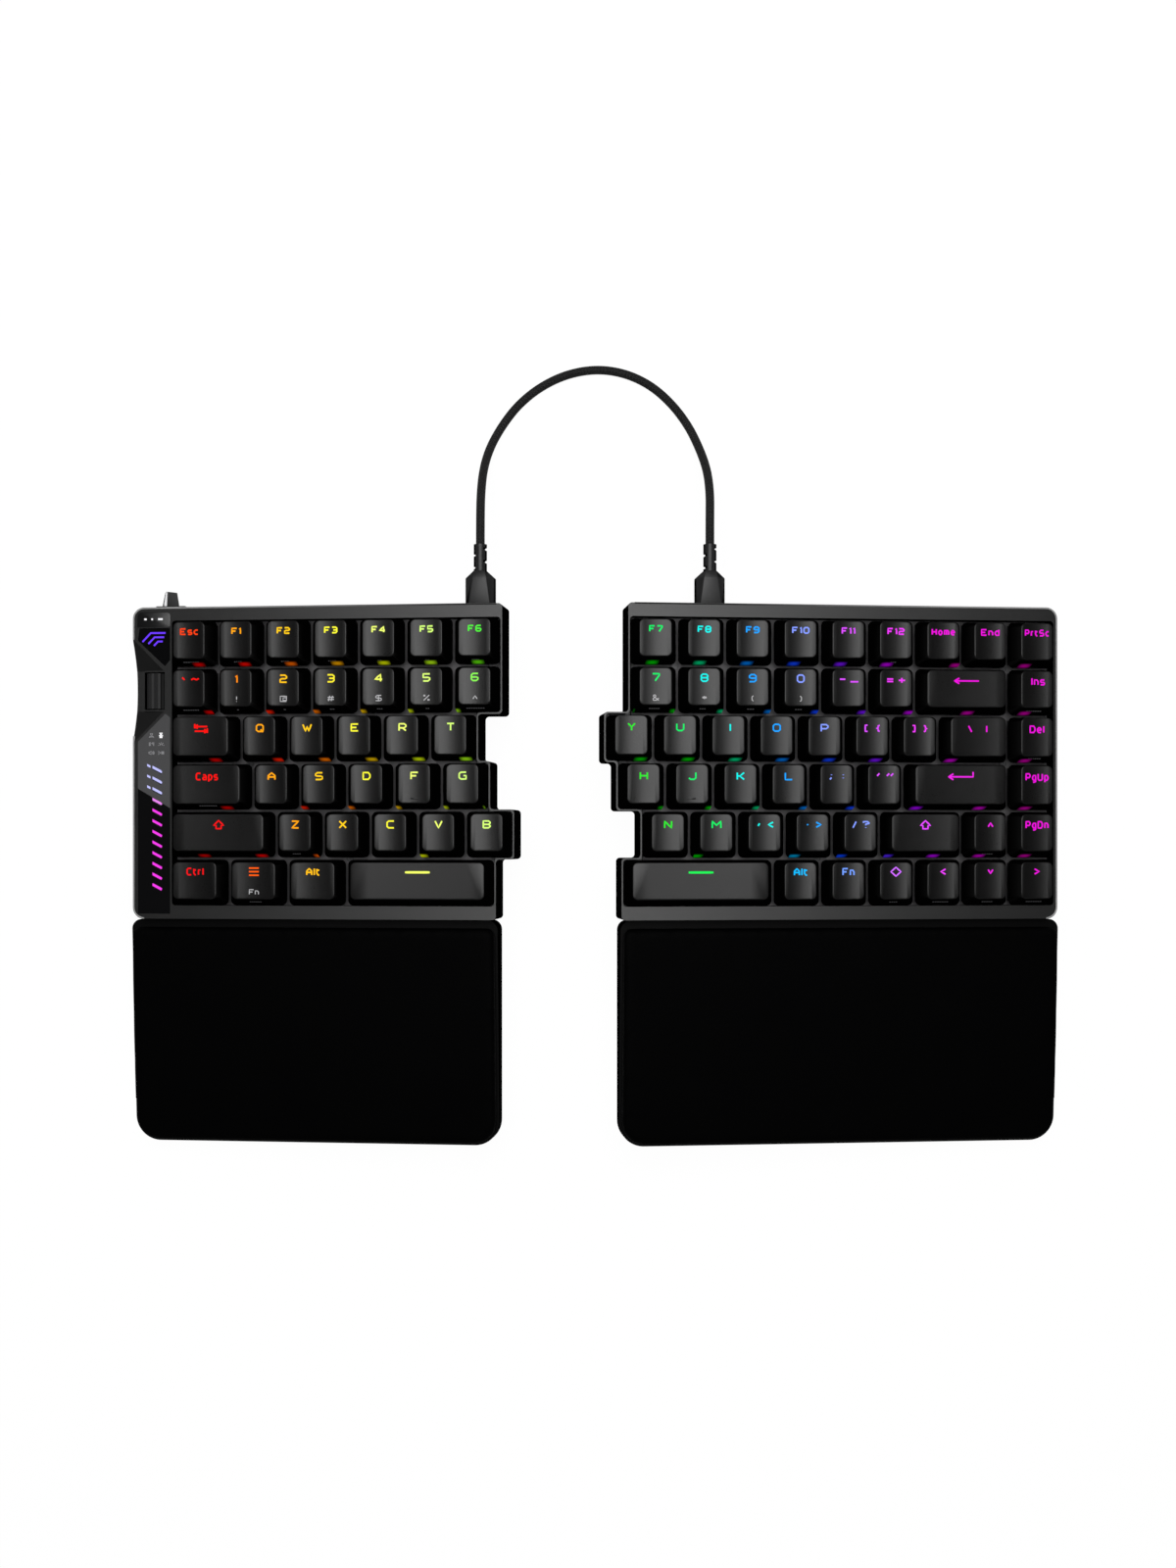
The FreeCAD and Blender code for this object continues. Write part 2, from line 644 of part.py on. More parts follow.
LIGHT_BARS = 12


def inlay(name, corners):
    outline = [(reach, row, "0") for reach, row in corners]
    return pad_outline(name, outline, "dim.case_height - dim.inlay_depth", "dim.inlay_depth")


def light_bars():
    bars = []
    for i in range(LIGHT_BARS):
        bar = doc.addObject("Part::Box", f"light_bar_{i}")
        turn = FreeCAD.Rotation(vec(0, 0, 1), -val("bar_slant"))
        middle = vec(val("bar_reach_x"), val("first_bar") + i * val("bar_pitch"), 0)
        corner = turn.multVec(vec(-val("bar_length") / 2, -val("bar_width") / 2, 0))
        bar.setExpression("Length", "dim.bar_length")
        bar.setExpression("Width", "dim.bar_width")
        bar.setExpression("Height", "dim.inlay_depth")
        bar.Placement = FreeCAD.Placement(
            middle + corner + vec(0, 0, val("case_height - inlay_depth")), turn
        )
        bars.append(bar)
    return bars


# One sloping side of the finger scoop: a corner of the deck above a plane that falls away from
# a ridge set at 45 degrees. Side is 1 behind the roller and -1 in front of it.
def facet(name, side):
    near = f"(dim.roller_row + {side} * dim.facet_start)"
    far = f"(dim.roller_row + {side} * (dim.facet_start + dim.facet_reach + dim.wall))"
    outline = [("dim.facet_reach", near, "0"), ("0 - dim.wall", far, "0"), ("0 - dim.wall", near, "0")]
    corner = pad_outline(
        name, outline[::side], "dim.case_height - 2 * dim.facet_depth", "3 * dim.facet_depth"
    )
    slope = math.radians(val("facet_slope"))
    down = vec(-1, -side, 0).normalize()
    along = vec(down.y, -down.x, 0)
    across = down * math.cos(slope) - vec(0, 0, math.sin(slope))
    below = doc.addObject("Part::Box", f"{name}_below")
    below.Length, below.Width, below.Height = DESK_SPAN, DESK_SPAN, DESK_DEPTH
    turn = FreeCAD.Rotation(along, across, along.cross(across), "ZXY")
    ridge = vec(val("facet_reach"), val("roller_row") + side * val("facet_start"), val("case_height"))
    start = ridge - along * DESK_SPAN / 2 - across * DESK_SPAN / 2
    below.Placement = FreeCAD.Placement(start - along.cross(across) * DESK_DEPTH, turn)
    return cut(f"{name}_cut", corner, [below])


# What the side deck of the left half loses: hollows for the electronics, the roller's well
# with its way out to the edge, the axle's bores, the lever's slot and the inlays
def deck_cuts(inlays):
    half = left
    hollow_top = "(dim.case_height - dim.deck_thickness)"
    hollow_height = f"({hollow_top} - dim.split_height)"
    hollow_width = "(dim.left_margin - dim.wall - dim.deck_wall)"
    well_half = "(dim.roller_length / 2 + dim.roller_clearance)"
    well_front = f"(dim.roller_row - {well_half})"
    well_rear = f"(dim.roller_row + {well_half})"
    front_end = f"({well_front} - dim.roller_wall)"
    rear_start = f"({well_rear} + dim.roller_wall)"
    well_width = "(dim.roller_diameter + 2 * dim.roller_clearance)"
    well_start = f"(dim.roller_reach - {well_width} / 2)"
    roller_z = "(dim.case_height + dim.roller_rise - dim.roller_diameter / 2)"
    rear_end = f"({CASE_DEPTH} - dim.lip)"
    slot_width = "(dim.lever_shank + 2 * dim.lever_travel + 2 * dim.lever_fit)"
    slot_height = "(dim.lever_height / 2 + 2 * dim.lever_fit)"
    return [
        box(half, "front_hollow", "dim.wall", "dim.lip", "dim.split_height",
            hollow_width, f"{front_end} - dim.lip", hollow_height),
        box(half, "rear_hollow", "dim.wall", rear_start, "dim.split_height",
            hollow_width, f"{rear_end} - {rear_start}", hollow_height),
        box(half, "roller_well", well_start, well_front, "0", well_width,
            f"{well_rear} - {well_front}", THROUGH),
        box(half, "roller_way", "0 - dim.wall", "dim.roller_row - dim.facet_start",
            "dim.case_height - dim.facet_depth", f"dim.wall + {well_start} + dim.roller_clearance",
            "2 * dim.facet_start", THROUGH),
        facet("front_facet", -1),
        facet("rear_facet", 1),
        cylinder(half, "axle_bore", "dim.roller_reach", f"{front_end} - dim.axle_fit", roller_z,
                 "dim.axle_diameter + 2 * dim.axle_fit",
                 f"{rear_start} - {front_end} + 2 * dim.axle_fit", along_y=True),
        scoop(half, "upper_scoop", THROUGH),
        box(half, "lever_hollow", "dim.lever_reach - dim.bezel_width / 2", f"{rear_end} + dim.deck_wall / 2",
            "dim.split_height", "dim.bezel_width", "dim.deck_wall + dim.wall / 2", "dim.bezel_height"),
        box(half, "lever_slot", f"dim.lever_reach - {slot_width} / 2", f"{rear_end} + dim.deck_wall",
            f"dim.lever_rise - {slot_height} / 2", slot_width, "dim.lip + dim.bezel_depth", slot_height),
    ] + inlays


def top_frame(half, inlays):
    name = f"{half.name}_top_frame"
    height = "dim.case_height - dim.split_height"
    body = pad_outline(f"{name}_shell", case_outline(half), "dim.split_height", height)
    bay = stepped(
        half, f"0 - {BAY_INSET}", f"{half.margin} + {BAY_INSET}", f"dim.lip + {BAY_INSET}",
        f"{CASE_DEPTH} - dim.lip - {BAY_INSET}", "dim.step_corner", "dim.step_corner",
    )
    pocket_outline(body, f"{name}_bay", bay, "dim.case_height", height)
    removed = []
    for i, (reach, row) in enumerate(case_screw_places(half)):
        removed.append(
            cylinder(
                half, f"frame_hole_{i}", reach, row, "0", "dim.screw_shank",
                "dim.case_screw_rise + dim.bay_clearance",
            )
        )
    base = body
    if half is left:
        bezel = box(
            half, "bezel", "dim.lever_reach - dim.bezel_width / 2", f"{CASE_DEPTH} - dim.wall",
            "dim.lever_rise - dim.bezel_height / 2", "dim.bezel_width", "dim.wall + dim.bezel_depth",
            "dim.bezel_height",
        )
        base = fuse(f"{name}_solid", [body, bezel])
        removed += deck_cuts(inlays)
    node(name, half, [cut(f"{name}_raw", base, removed)])


# Every key of a half as (row, middle in units, width in units)
def keys_of(half):
    found = []
    for row, (start, widths) in enumerate(half.rows):
        for width in widths:
            found.append((row, start + width / 2, width))
            start += width
    return found


def key_place(half, row, units):
    return vec(half.sense * val(half.along(units)), val(row_middle(row)), 0)


def stabiliser_offset(width):
    if width < STABILISED:
        return 0
    return val("bar_reach") if width > WIDEST_KEY else val("stabiliser_reach")


# A rounded rectangle at height z, as a wire of four lines and four arcs
def rounded_wire(width, depth, radius, middle, z):
    a, b = width / 2 - radius, depth / 2 - radius
    edges = []
    turns = [(a, b, 0), (-a, b, 90), (-a, -b, 180), (a, -b, 270)]
    ends = []
    for x, y, angle in turns:
        centre = vec(x, y, z) + middle
        on = [
            centre + vec(math.cos(math.radians(angle + t)), math.sin(math.radians(angle + t)), 0) * radius
            for t in (0, 45, 90)
        ]
        ends.append(on)
    for here, following in zip(ends, ends[1:] + ends[:1]):
        edges.append(Part.Arc(*here).toShape())
        edges.append(Part.makeLine(here[2], following[0]))
    return Part.Wire(edges)


def tapered(width, depth, radius, z, top_width, top_depth, top_radius, top_z, lean):
    wires = [
        rounded_wire(width, depth, radius, vec(0, 0, 0), z),
        rounded_wire(top_width, top_depth, top_radius, vec(0, lean, 0), top_z),
    ]
    return Part.makeLoft(wires, True, True)


# A hollow cap with a dish across its top and a post over each stem
def keycap(width_units, top_depth):
    width = width_units * val("key_pitch") - val("key_gap")
    depth = val("key_pitch - key_gap")
    top = SKIRT + val("cap_height")
    lean, wall, roof = val("cap_lean"), val("cap_wall"), val("cap_roof")
    top_width = width - val("cap_taper")
    outside = tapered(
        width, depth, val("cap_base_corner"), SKIRT, top_width, top_depth, val("cap_top_corner"), top, lean
    )
    share = (val("cap_height") - roof) / val("cap_height")
    inside_corner = val("cap_top_corner") / 2
    inside = tapered(
        width - 2 * wall, depth - 2 * wall, inside_corner, SKIRT,
        width - val("cap_taper") * share - 2 * wall,
        depth - (depth - top_depth) * share - 2 * wall, inside_corner, top - roof, lean * share,
    )
    half_chord, dish = top_width / 2, val("dish_depth")
    dish_radius = (half_chord**2 + dish**2) / (2 * dish)
    hollow = Part.makeCylinder(
        dish_radius, 2 * depth, vec(0, -depth, top - dish + dish_radius), vec(0, 1, 0)
    )
    cap = outside.cut(inside).cut(hollow)
    stem_top = val("split_height + stem_rise")
    reach = stabiliser_offset(width_units)
    posts = [(0, "stem_diameter")]
    if reach:
        posts += [(-reach, "stabiliser_stem"), (reach, "stabiliser_stem")]
    height = top - (roof + dish) / 2 - stem_top
    for x, diameter in posts:
        cap = cap.fuse(Part.makeCylinder(val(diameter) / 2, height, vec(x, 0, stem_top)))
    return cap.removeSplitter().Solids[0]


def stem(diameter):
    top = val("split_height + stem_rise")
    return Part.makeCylinder(val(diameter) / 2, val("stem_length"), vec(0, 0, top - val("stem_length")))


CAPS = {}


def key_solids(half, row, units, width):
    top_depth = val("home_top_depth" if row in HOME_ROWS else "cap_top_depth")
    if (width, top_depth) not in CAPS:
        CAPS[width, top_depth] = keycap(width, top_depth)
    place = key_place(half, row, units)
    reach = stabiliser_offset(width)
    solids = [CAPS[width, top_depth].translated(place), stem("stem_diameter").translated(place)]
    for x in (-reach, reach) if reach else ():
        solids.append(stem("stabiliser_stem").translated(place + vec(x, 0, 0)))
    return solids


def key_rows(half):
    for row in range(ROWS):
        bars, others = [], []
        for key_row, units, width in keys_of(half):
            if key_row == row:
                (bars if width > WIDEST_KEY else others).extend(key_solids(half, row, units, width))
        if bars:
            label = f"{half.name}_space_bar"
            node(label, half, [feature(f"{label}_solids", Part.makeCompound(bars))])
        label = f"{half.name}_{ROW_NAMES[row]}"
        node(label, half, [feature(f"{label}_solids", Part.makeCompound(others))])


# One switch housing: a square body through the plate, a flange and a tapered tower with a bore
def switch_housing():
    top = val(PLATE_TOP)
    side, flange = val("housing_width"), val("flange_width")
    lower = Part.makeBox(side, side, val("housing_depth"), vec(-side / 2, -side / 2, val(BOARD_TOP)))
    rim = Part.makeBox(flange, flange, val("flange_height"), vec(-flange / 2, -flange / 2, top))
    head, corner = val("housing_top_width"), val("housing_corner")
    tower = tapered(
        side, side, corner, top + val("flange_height"),
        head, head, corner, top + val("housing_rise"), 0,
    )
    floor = top + val("stem_rise - stem_length - stem_travel - stem_slack")
    bore = Part.makeCylinder(val("stem_bore") / 2, top + val("housing_rise") - floor, vec(0, 0, floor))
    return lower.fuse([rim, tower]).cut(bore).removeSplitter().Solids[0]


def switch_housings(half):
    housing = switch_housing()
    solids = [housing.translated(key_place(half, row, units)) for row, units, _ in keys_of(half)]
    label = f"{half.name}_switch_housings"
    node(label, half, [feature(f"{label}_solids", Part.makeCompound(solids))])


# Two bored blocks and one bent wire under each wide key
def stabilisers(half):
    solids = []
    width, depth = val("stabiliser_width"), val("stabiliser_depth")
    top, height, wire = val(PLATE_TOP), val("stabiliser_height"), val("wire_diameter")
    for row, units, key_width in keys_of(half):
        reach = stabiliser_offset(key_width)
        if not reach:
            continue
        place = key_place(half, row, units)
        wire_y = -val("wire_offset")
        wire_z = top + wire / 2
        bent = Part.makeCylinder(wire / 2, 2 * reach, vec(-reach, wire_y, wire_z), vec(1, 0, 0))
        for x in (-reach, reach):
            block = Part.makeBox(width, depth, height, vec(x - width / 2, -depth / 2, top))
            bore = Part.makeCylinder(val("stabiliser_bore") / 2, height, vec(x, 0, top))
            arm = Part.makeCylinder(wire / 2, -wire_y - depth / 2, vec(x, wire_y, wire_z), vec(0, 1, 0))
            elbow = Part.makeSphere(wire / 2, vec(x, wire_y, wire_z))
            bent = bent.fuse([arm, elbow])
            solids.append(block.cut(bore).translated(place))
        solids.append(bent.translated(place))
    label = f"{half.name}_stabilisers"
    node(label, half, [feature(f"{label}_solids", Part.makeCompound(solids))])


def switch_plate(half):
    name = f"{half.name}_switch_plate"
    outer = "dim.left_margin" if half is left else "dim.wall + dim.plate_fit"
    outline = stepped(
        half, "dim.inner_margin - dim.wall - dim.plate_fit", outer, "dim.plate_lip",
        f"{CASE_DEPTH} - dim.plate_lip", "dim.step_corner", "dim.case_corner - dim.wall",
    )
    body = pad_outline(f"{name}_sheet", outline, PLATE_BOTTOM, "dim.plate_thickness")
    side, thick = val("plate_hole"), val("plate_thickness")
    hole = Part.makeBox(side, side, 3 * thick, vec(-side / 2, -side / 2, val(PLATE_BOTTOM) - thick))
    holes = [hole.translated(key_place(half, row, units)) for row, units, _ in keys_of(half)]
    for row, units, width in keys_of(half):
        reach = stabiliser_offset(width)
        for x in (-reach, reach) if reach else ():
            below = vec(x, 0, val(PLATE_BOTTOM) - thick)
            bore = Part.makeCylinder(val("stabiliser_bore") / 2, 3 * thick, below)
            holes.append(bore.translated(key_place(half, row, units)))
    removed = [feature(f"{name}_holes", Part.makeCompound(holes))]
    for i, (reach, row) in enumerate(screw_places(half)):
        removed.append(cylinder(half, f"plate_hole_{i}", reach, row, "0", "dim.screw_shank", THROUGH))
    node(name, half, [cut(f"{name}_raw", body, removed)])


def circuit_board(half):
    name = f"{half.name}_circuit_board"
    outline = stepped(
        half, "dim.inner_margin - dim.wall - dim.plate_fit", "dim.wall + dim.plate_fit", "dim.plate_lip",
        f"{CASE_DEPTH} - dim.plate_lip", "dim.step_corner", "dim.case_corner - dim.wall",
    )
    body = pad_outline(f"{name}_sheet", outline, BOARD_BOTTOM, "dim.board_thickness")
    holes = [
        cylinder(half, f"board_hole_{i}", reach, row, "0", "dim.boss_diameter + 2 * dim.plate_fit", THROUGH)
        for i, (reach, row) in enumerate(screw_places(half))
    ]
    node(name, half, [cut(f"{name}_raw", body, holes)])


# A screw with a hex socket, head down or head up
def screw(head, head_height, shank, length):
    body = Part.makeCylinder(shank / 2, length, vec(0, 0, -length))
    top = Part.makeCylinder(head / 2, head_height)
    key_radius, floor = head / 4, vec(0, 0, head_height / 2)
    turns = [math.radians(60 * i) for i in range(7)]
    corners = [vec(math.cos(a), math.sin(a), 0) * key_radius + floor for a in turns]
    socket = Part.Face(Part.makePolygon(corners)).extrude(vec(0, 0, head_height))
    return body.fuse(top).cut(socket).removeSplitter()


def screws(half):
    head, head_height, shank = val("screw_head"), val("screw_head_height"), val("screw_shank")
    reach_down = val(PLATE_TOP) - val("plate_screw_tip")
    plate = [
        screw(head, head_height, shank, reach_down).translated(
            vec(val(half.x(reach)), val(row), val(PLATE_TOP))
        )
        for reach, row in screw_places(half)
    ]
    label = f"{half.name}_plate_screws"
    node(label, half, [feature(f"{label}_solids", Part.makeCompound(plate))])
    upturned = screw(val("case_screw_head"), head_height, shank, val("case_screw_rise") - head_height)
    upturned.rotate(vec(0, 0, 0), vec(1, 0, 0), 180)
    case = [
        upturned.translated(vec(val(half.x(reach)), val(row), head_height))
        for reach, row in case_screw_places(half)
    ]
    label = f"{half.name}_case_screws"
    node(label, half, [feature(f"{label}_solids", Part.makeCompound(case))])


# Wedge feet under the outer edge, cut flat by the desk, and thin discs for flat use
def rubber_feet(half, desk):
    deep = "(dim.outer_clearance + dim.foot_inset + dim.foot_length)"
    pads = []
    for name, row in (("front", "dim.lip"), ("rear", f"{CASE_DEPTH} - dim.lip - dim.foot_width")):
        block = box(half, f"{name}_foot_block", "dim.foot_inset", row, f"0 - {deep}",
                    "dim.foot_length", "dim.foot_width", deep)
        pads.append(cut(f"{half.name}_{name}_foot", block, [desk]))
    for name, row in (("front", "dim.front_leg_row"), ("rear", "dim.rear_leg_row")):
        pads.append(
            cylinder(
                half, f"{name}_flat_foot",
                f"{half.inner_edge(ROWS - 1)} - dim.leg_inset - dim.flat_foot_reach",
                row, "0 - dim.flat_foot_height", "dim.flat_foot_diameter", "dim.flat_foot_height",
            )
        )
    node(f"{half.name}_rubber_feet", half, pads)


# A sheet-metal socket shell lying on the circuit board, open to the rear
def usb_sockets(half):
    shells = []
    for name, reach in sockets(half).items():
        width, height, inset = "dim.socket_width", "dim.socket_height", "dim.socket_sheet"
        front = f"{CASE_DEPTH} - dim.socket_fit - dim.socket_depth"
        outside = box(half, f"{name}_shell", f"{reach} - {width} / 2", front, BOARD_TOP,
                      width, "dim.socket_depth", height)
        inside = box(half, f"{name}_mouth", f"{reach} - {width} / 2 + {inset}", f"{front} + {inset}",
                     f"{BOARD_TOP} + {inset}", f"{width} - 2 * {inset}", "dim.socket_depth",
                     f"{height} - 2 * {inset}")
        shells.append(cut(f"{half.name}_{name}_socket", outside, [inside]))
    node(f"{half.name}_usb_sockets", half, shells)


# The plug in a link socket: tapered body, metal tongue and a notched strain relief
SOCKET_MIDDLE = f"({BOARD_TOP} + dim.socket_height / 2)"
NOTCHES = 4


def along_y(shape, half):
    shape.rotate(vec(0, 0, 0), vec(1, 0, 0), -90)
    place = vec(val(half.x("dim.socket_reach")), val(CASE_DEPTH), val(SOCKET_MIDDLE))
    return shape.translated(place)


def link_plug(half):
    width, height, length = val("plug_width"), val("plug_height"), val("plug_length")
    gap, shoulder, fit = val("plug_gap"), val("plug_shoulder"), val("tongue_fit")
    relief, corner = val("relief_diameter"), val("plug_corner")
    grip_end, end = gap + length - shoulder, gap + length
    grip = tapered(width, height, corner, gap, width, height, corner, grip_end, 0)
    neck = tapered(
        width, height, corner, grip_end, val("plug_neck"), relief, relief / 2 - fit, end, 0
    )
    sheet_gap = val("socket_sheet") + fit
    tongue_width = val("socket_width") - 2 * sheet_gap
    tongue_height = val("socket_height") - 2 * sheet_gap
    reach_in = val("socket_depth + socket_fit") - 2 * val("socket_sheet")
    corner_of_tongue = vec(-tongue_width / 2, -tongue_height / 2, -reach_in)
    tongue = Part.makeBox(tongue_width, tongue_height, reach_in + gap, corner_of_tongue)
    body = grip.fuse(neck).removeSplitter()
    label = f"{half.name}_plug"
    parts = [along_y(body, half), along_y(tongue, half)]
    node(label, half, [feature(f"{label}_solids", Part.makeCompound(parts))])
    sleeve = Part.makeCone(
        relief / 2, val("cable_diameter / 2 + relief_wall"), val("relief_length"), vec(0, 0, end)
    )
    slot = Part.makeBox(relief, relief, val("notch_width"))
    notches = []
    for i in range(NOTCHES):
        side = 1 if i % 2 else -1
        middle = side * (relief - val("notch_depth")) - relief / 2
        notches.append(
            slot.translated(vec(middle, -relief / 2, end + val("notch_start") + i * val("notch_pitch")))
        )
    relief_solid = sleeve.cut(notches)
    label = f"{half.name}_strain_relief"
    node(label, half, [feature(f"{label}_solids", along_y(relief_solid, half))])


def cable_exit(half):
    end = val("plug_gap + plug_length + relief_length")
    local = vec(val(half.x("dim.socket_reach")), val(CASE_DEPTH) + end, val(SOCKET_MIDDLE))
    return half.placement.multVec(local)


# The side deck of the left half
KNURLS = 14


def volume_roller():
    reach, row = val("roller_reach"), val("roller_row")
    radius, length = val("roller_diameter") / 2, val("roller_length")
    z = val("case_height + roller_rise") - radius
    points = []
    for i in range(2 * KNURLS + 1):
        angle = math.pi * i / KNURLS
        r = radius - (val("knurl_depth") if i % 2 else 0)
        points.append(vec(r * math.cos(angle), 0, r * math.sin(angle)))
    drum = Part.Face(Part.makePolygon(points)).extrude(vec(0, length, 0))
    drum = drum.translated(vec(reach, row - length / 2, z))
    walls_end = length / 2 + val("roller_clearance + roller_wall")
    axle_start = row - walls_end - val("encoder_depth") / 2
    axle = Part.makeCylinder(
        val("axle_diameter") / 2, row + walls_end - axle_start, vec(reach, axle_start, z), vec(0, 1, 0)
    )
    solids = [drum.cut(axle), axle]
    node("volume_roller", left, [feature("volume_roller_solids", Part.makeCompound(solids))])
    front = row - walls_end - val("axle_fit") - val("encoder_depth")
    top = val("case_height - deck_thickness - axle_fit")
    width = val("encoder_width")
    corner = vec(reach - width / 2, front, val(BOARD_TOP))
    block = Part.makeBox(width, val("encoder_depth"), top - val(BOARD_TOP), corner)
    bore_start = vec(reach, front + val("encoder_wall"), z)
    bore = Part.makeCylinder(
        val("axle_diameter / 2 + axle_fit"), val("encoder_depth"), bore_start, vec(0, 1, 0)
    )
    node("roller_encoder", left, [feature("roller_encoder_solids", block.cut(bore))])
    return vec(reach, row, z)


def mode_lever():
    face = f"({CASE_DEPTH} + dim.bezel_depth + dim.lever_fit)"
    middle = "(dim.lever_reach - dim.lever_lean)"
    outline = [
        (f"{middle} - dim.lever_width / 2", face, "0"),
        (f"{middle} + dim.lever_width / 2", face, "0"),
        (f"{middle} + dim.lever_tip_width / 2", f"{face} + dim.lever_length - dim.lever_slant", "0"),
        (f"{middle} - dim.lever_tip_width / 2", f"{face} + dim.lever_length", "0"),
    ]
    underside = "dim.lever_rise - dim.lever_height / 2"
    wedge = pad_outline("mode_lever_wedge", outline, underside, "dim.lever_height")
    rear_end = f"({CASE_DEPTH} - dim.lip)"
    switch_front = f"({rear_end} + dim.deck_wall / 2 + dim.lever_fit)"
    switch_depth = "dim.deck_wall"
    neck_start = f"({switch_front} + {switch_depth} + dim.lever_fit)"
    neck = box(
        left, "lever_neck", "dim.lever_reach - dim.lever_shank / 2", neck_start,
        "dim.lever_rise - dim.lever_height / 4", "dim.lever_shank",
        f"{face} - {neck_start} + dim.bezel_depth",
        "dim.lever_height / 2",
    )
    node("mode_lever", left, [fuse("mode_lever_solid", [wedge, neck])])
    switch = box(
        left, "mode_switch_block", "dim.lever_reach - dim.bezel_width / 2 + dim.lever_fit",
        switch_front, BOARD_TOP, "dim.bezel_width - 2 * dim.lever_fit", switch_depth,
        f"dim.split_height + dim.bezel_height - dim.lever_fit - {BOARD_TOP}",
    )
    node("mode_switch", left, [switch])


def battery():
    pouch = box(
        left, "battery_pouch", "dim.battery_reach", "dim.battery_row", "dim.base_floor",
        "dim.battery_length", "dim.battery_width", "dim.battery_height",
    )
    node("battery", left, [pouch])


# The wrist rests
def rest_outline(half, inset, rear_inset):
    inner = f"({half.inner_edge(0)} - dim.rest_narrowing - {inset})"
    rear = f"(0 - dim.rest_gap - {rear_inset})"
    front = f"(0 - dim.rest_gap - dim.rest_depth + {inset})"
    outer = f"({inset} - dim.rest_overhang)"
    return [
        (half.x(outer), rear, f"dim.rest_rear_corner - {inset}"),
        (half.x(outer), front, f"dim.rest_front_corner - {inset}"),
        (half.x(inner), front, f"dim.rest_front_corner - {inset}"),
        (half.x(inner), rear, f"dim.rest_rear_corner - {inset}"),
    ]


# A block over the sloping top of the rest's hard base
def rest_slope_block(half):
    obj = doc.addObject("Part::Box", f"{half.name}_rest_slope")
    obj.Length, obj.Width, obj.Height = DESK_SPAN, DESK_SPAN, DESK_DEPTH
    turn = FreeCAD.Rotation(vec(1, 0, 0), val("rest_slope"))
    hinge = vec(0, -val("rest_gap"), val("rest_rear_height"))
    corner = vec(-DESK_SPAN / 2, -DESK_SPAN / 2, 0)
    obj.Placement = FreeCAD.Placement(hinge, turn).multiply(
        FreeCAD.Placement(corner, FreeCAD.Rotation())
    )
    return obj


def rest_pad(half):
    label = f"{half.name}_rest_pad"
    inset = val("pad_inset")
    inner = val(half.inner_edge(0)) - val("rest_narrowing") - inset
    rear = -val("rest_gap") - val("pad_rear_inset")
    front = -val("rest_gap") - val("rest_depth") + inset
    outer = inset - val("rest_overhang")
    width, depth, thick = inner - outer, rear - front, val("pad_thickness")
    edges, corners = [], []
    rear_r, front_r = val("rest_rear_corner") - inset, val("rest_front_corner") - inset
    for x, y, angle, r in (
        (width / 2 - rear_r, depth / 2 - rear_r, 0, rear_r),
        (-width / 2 + rear_r, depth / 2 - rear_r, 90, rear_r),
        (-width / 2 + front_r, -depth / 2 + front_r, 180, front_r),
        (width / 2 - front_r, -depth / 2 + front_r, 270, front_r),
    ):
        corners.append([
            vec(x + r * math.cos(math.radians(turned)), y + r * math.sin(math.radians(turned)), 0)
            for turned in (angle, angle + 45, angle + 90)
        ])
    for here, following in zip(corners, corners[1:] + corners[:1]):
        edges.append(Part.Arc(*here).toShape())
        edges.append(Part.makeLine(here[2], following[0]))
    slab = Part.Face(Part.Wire(edges)).extrude(vec(0, 0, thick + val("pad_crown")))
    crown = val("pad_crown")
    radius = ((depth / 2) ** 2 + crown**2) / (2 * crown)
    dome = Part.makeCylinder(radius, 2 * width, vec(-width, 0, thick + crown - radius), vec(1, 0, 0))
    pad = slab.common(dome)
    upper = [e for e in pad.Edges if e.BoundBox.ZMin > thick / 2]
    pad = pad.makeFillet(val("pad_round"), upper).Solids[0]
    turn = FreeCAD.Rotation(vec(1, 0, 0), val("rest_slope"))
    middle = vec(half.sense * (inner + outer) / 2, (rear + front) / 2, 0)
    slope = math.tan(math.radians(val("rest_slope")))
    middle.z = val("rest_rear_height") + (middle.y + val("rest_gap")) * slope
    pad.Placement = FreeCAD.Placement(middle, turn)
    node(label, half, [feature(f"{label}_solids", pad)])


def wrist_rest(half, desk):
    name = f"{half.name}_rest_base"
    height = "dim.rest_rear_height + dim.pad_crown"
    body = pad_outline(f"{name}_block", rest_outline(half, "0", "0"), "0", height)
    reach = f"({half.inner_edge(0)} - dim.rest_narrowing - dim.leg_inset)"
    row = "(0 - dim.rest_gap - dim.rest_depth / 2)"
    _, cuts = leg_pocket(half, "rest_leg", reach, row, "dim.rest_leg_width")
    node(name, half, [cut(f"{name}_raw", body, [rest_slope_block(half)] + cuts)])
    tent_leg(half, "rest_leg", reach, row, "dim.rest_leg_width", desk)
    feet = []
    rear = "(0 - dim.rest_gap - dim.rest_front_corner - dim.foot_width)"
    front = "(0 - dim.rest_gap - dim.rest_depth + dim.rest_front_corner)"
    deep = "(dim.outer_clearance + dim.foot_inset + dim.foot_length)"
    for place, y in (("rear", rear), ("front", front)):
        block = box(half, f"rest_{place}_foot_block", "dim.foot_inset", y, f"0 - {deep}",
                    "dim.foot_length", "dim.foot_width", deep)
        feet.append(cut(f"{half.name}_rest_{place}_foot", block, [desk]))
    node(f"{half.name}_rest_feet", half, feet)
    rest_pad(half)


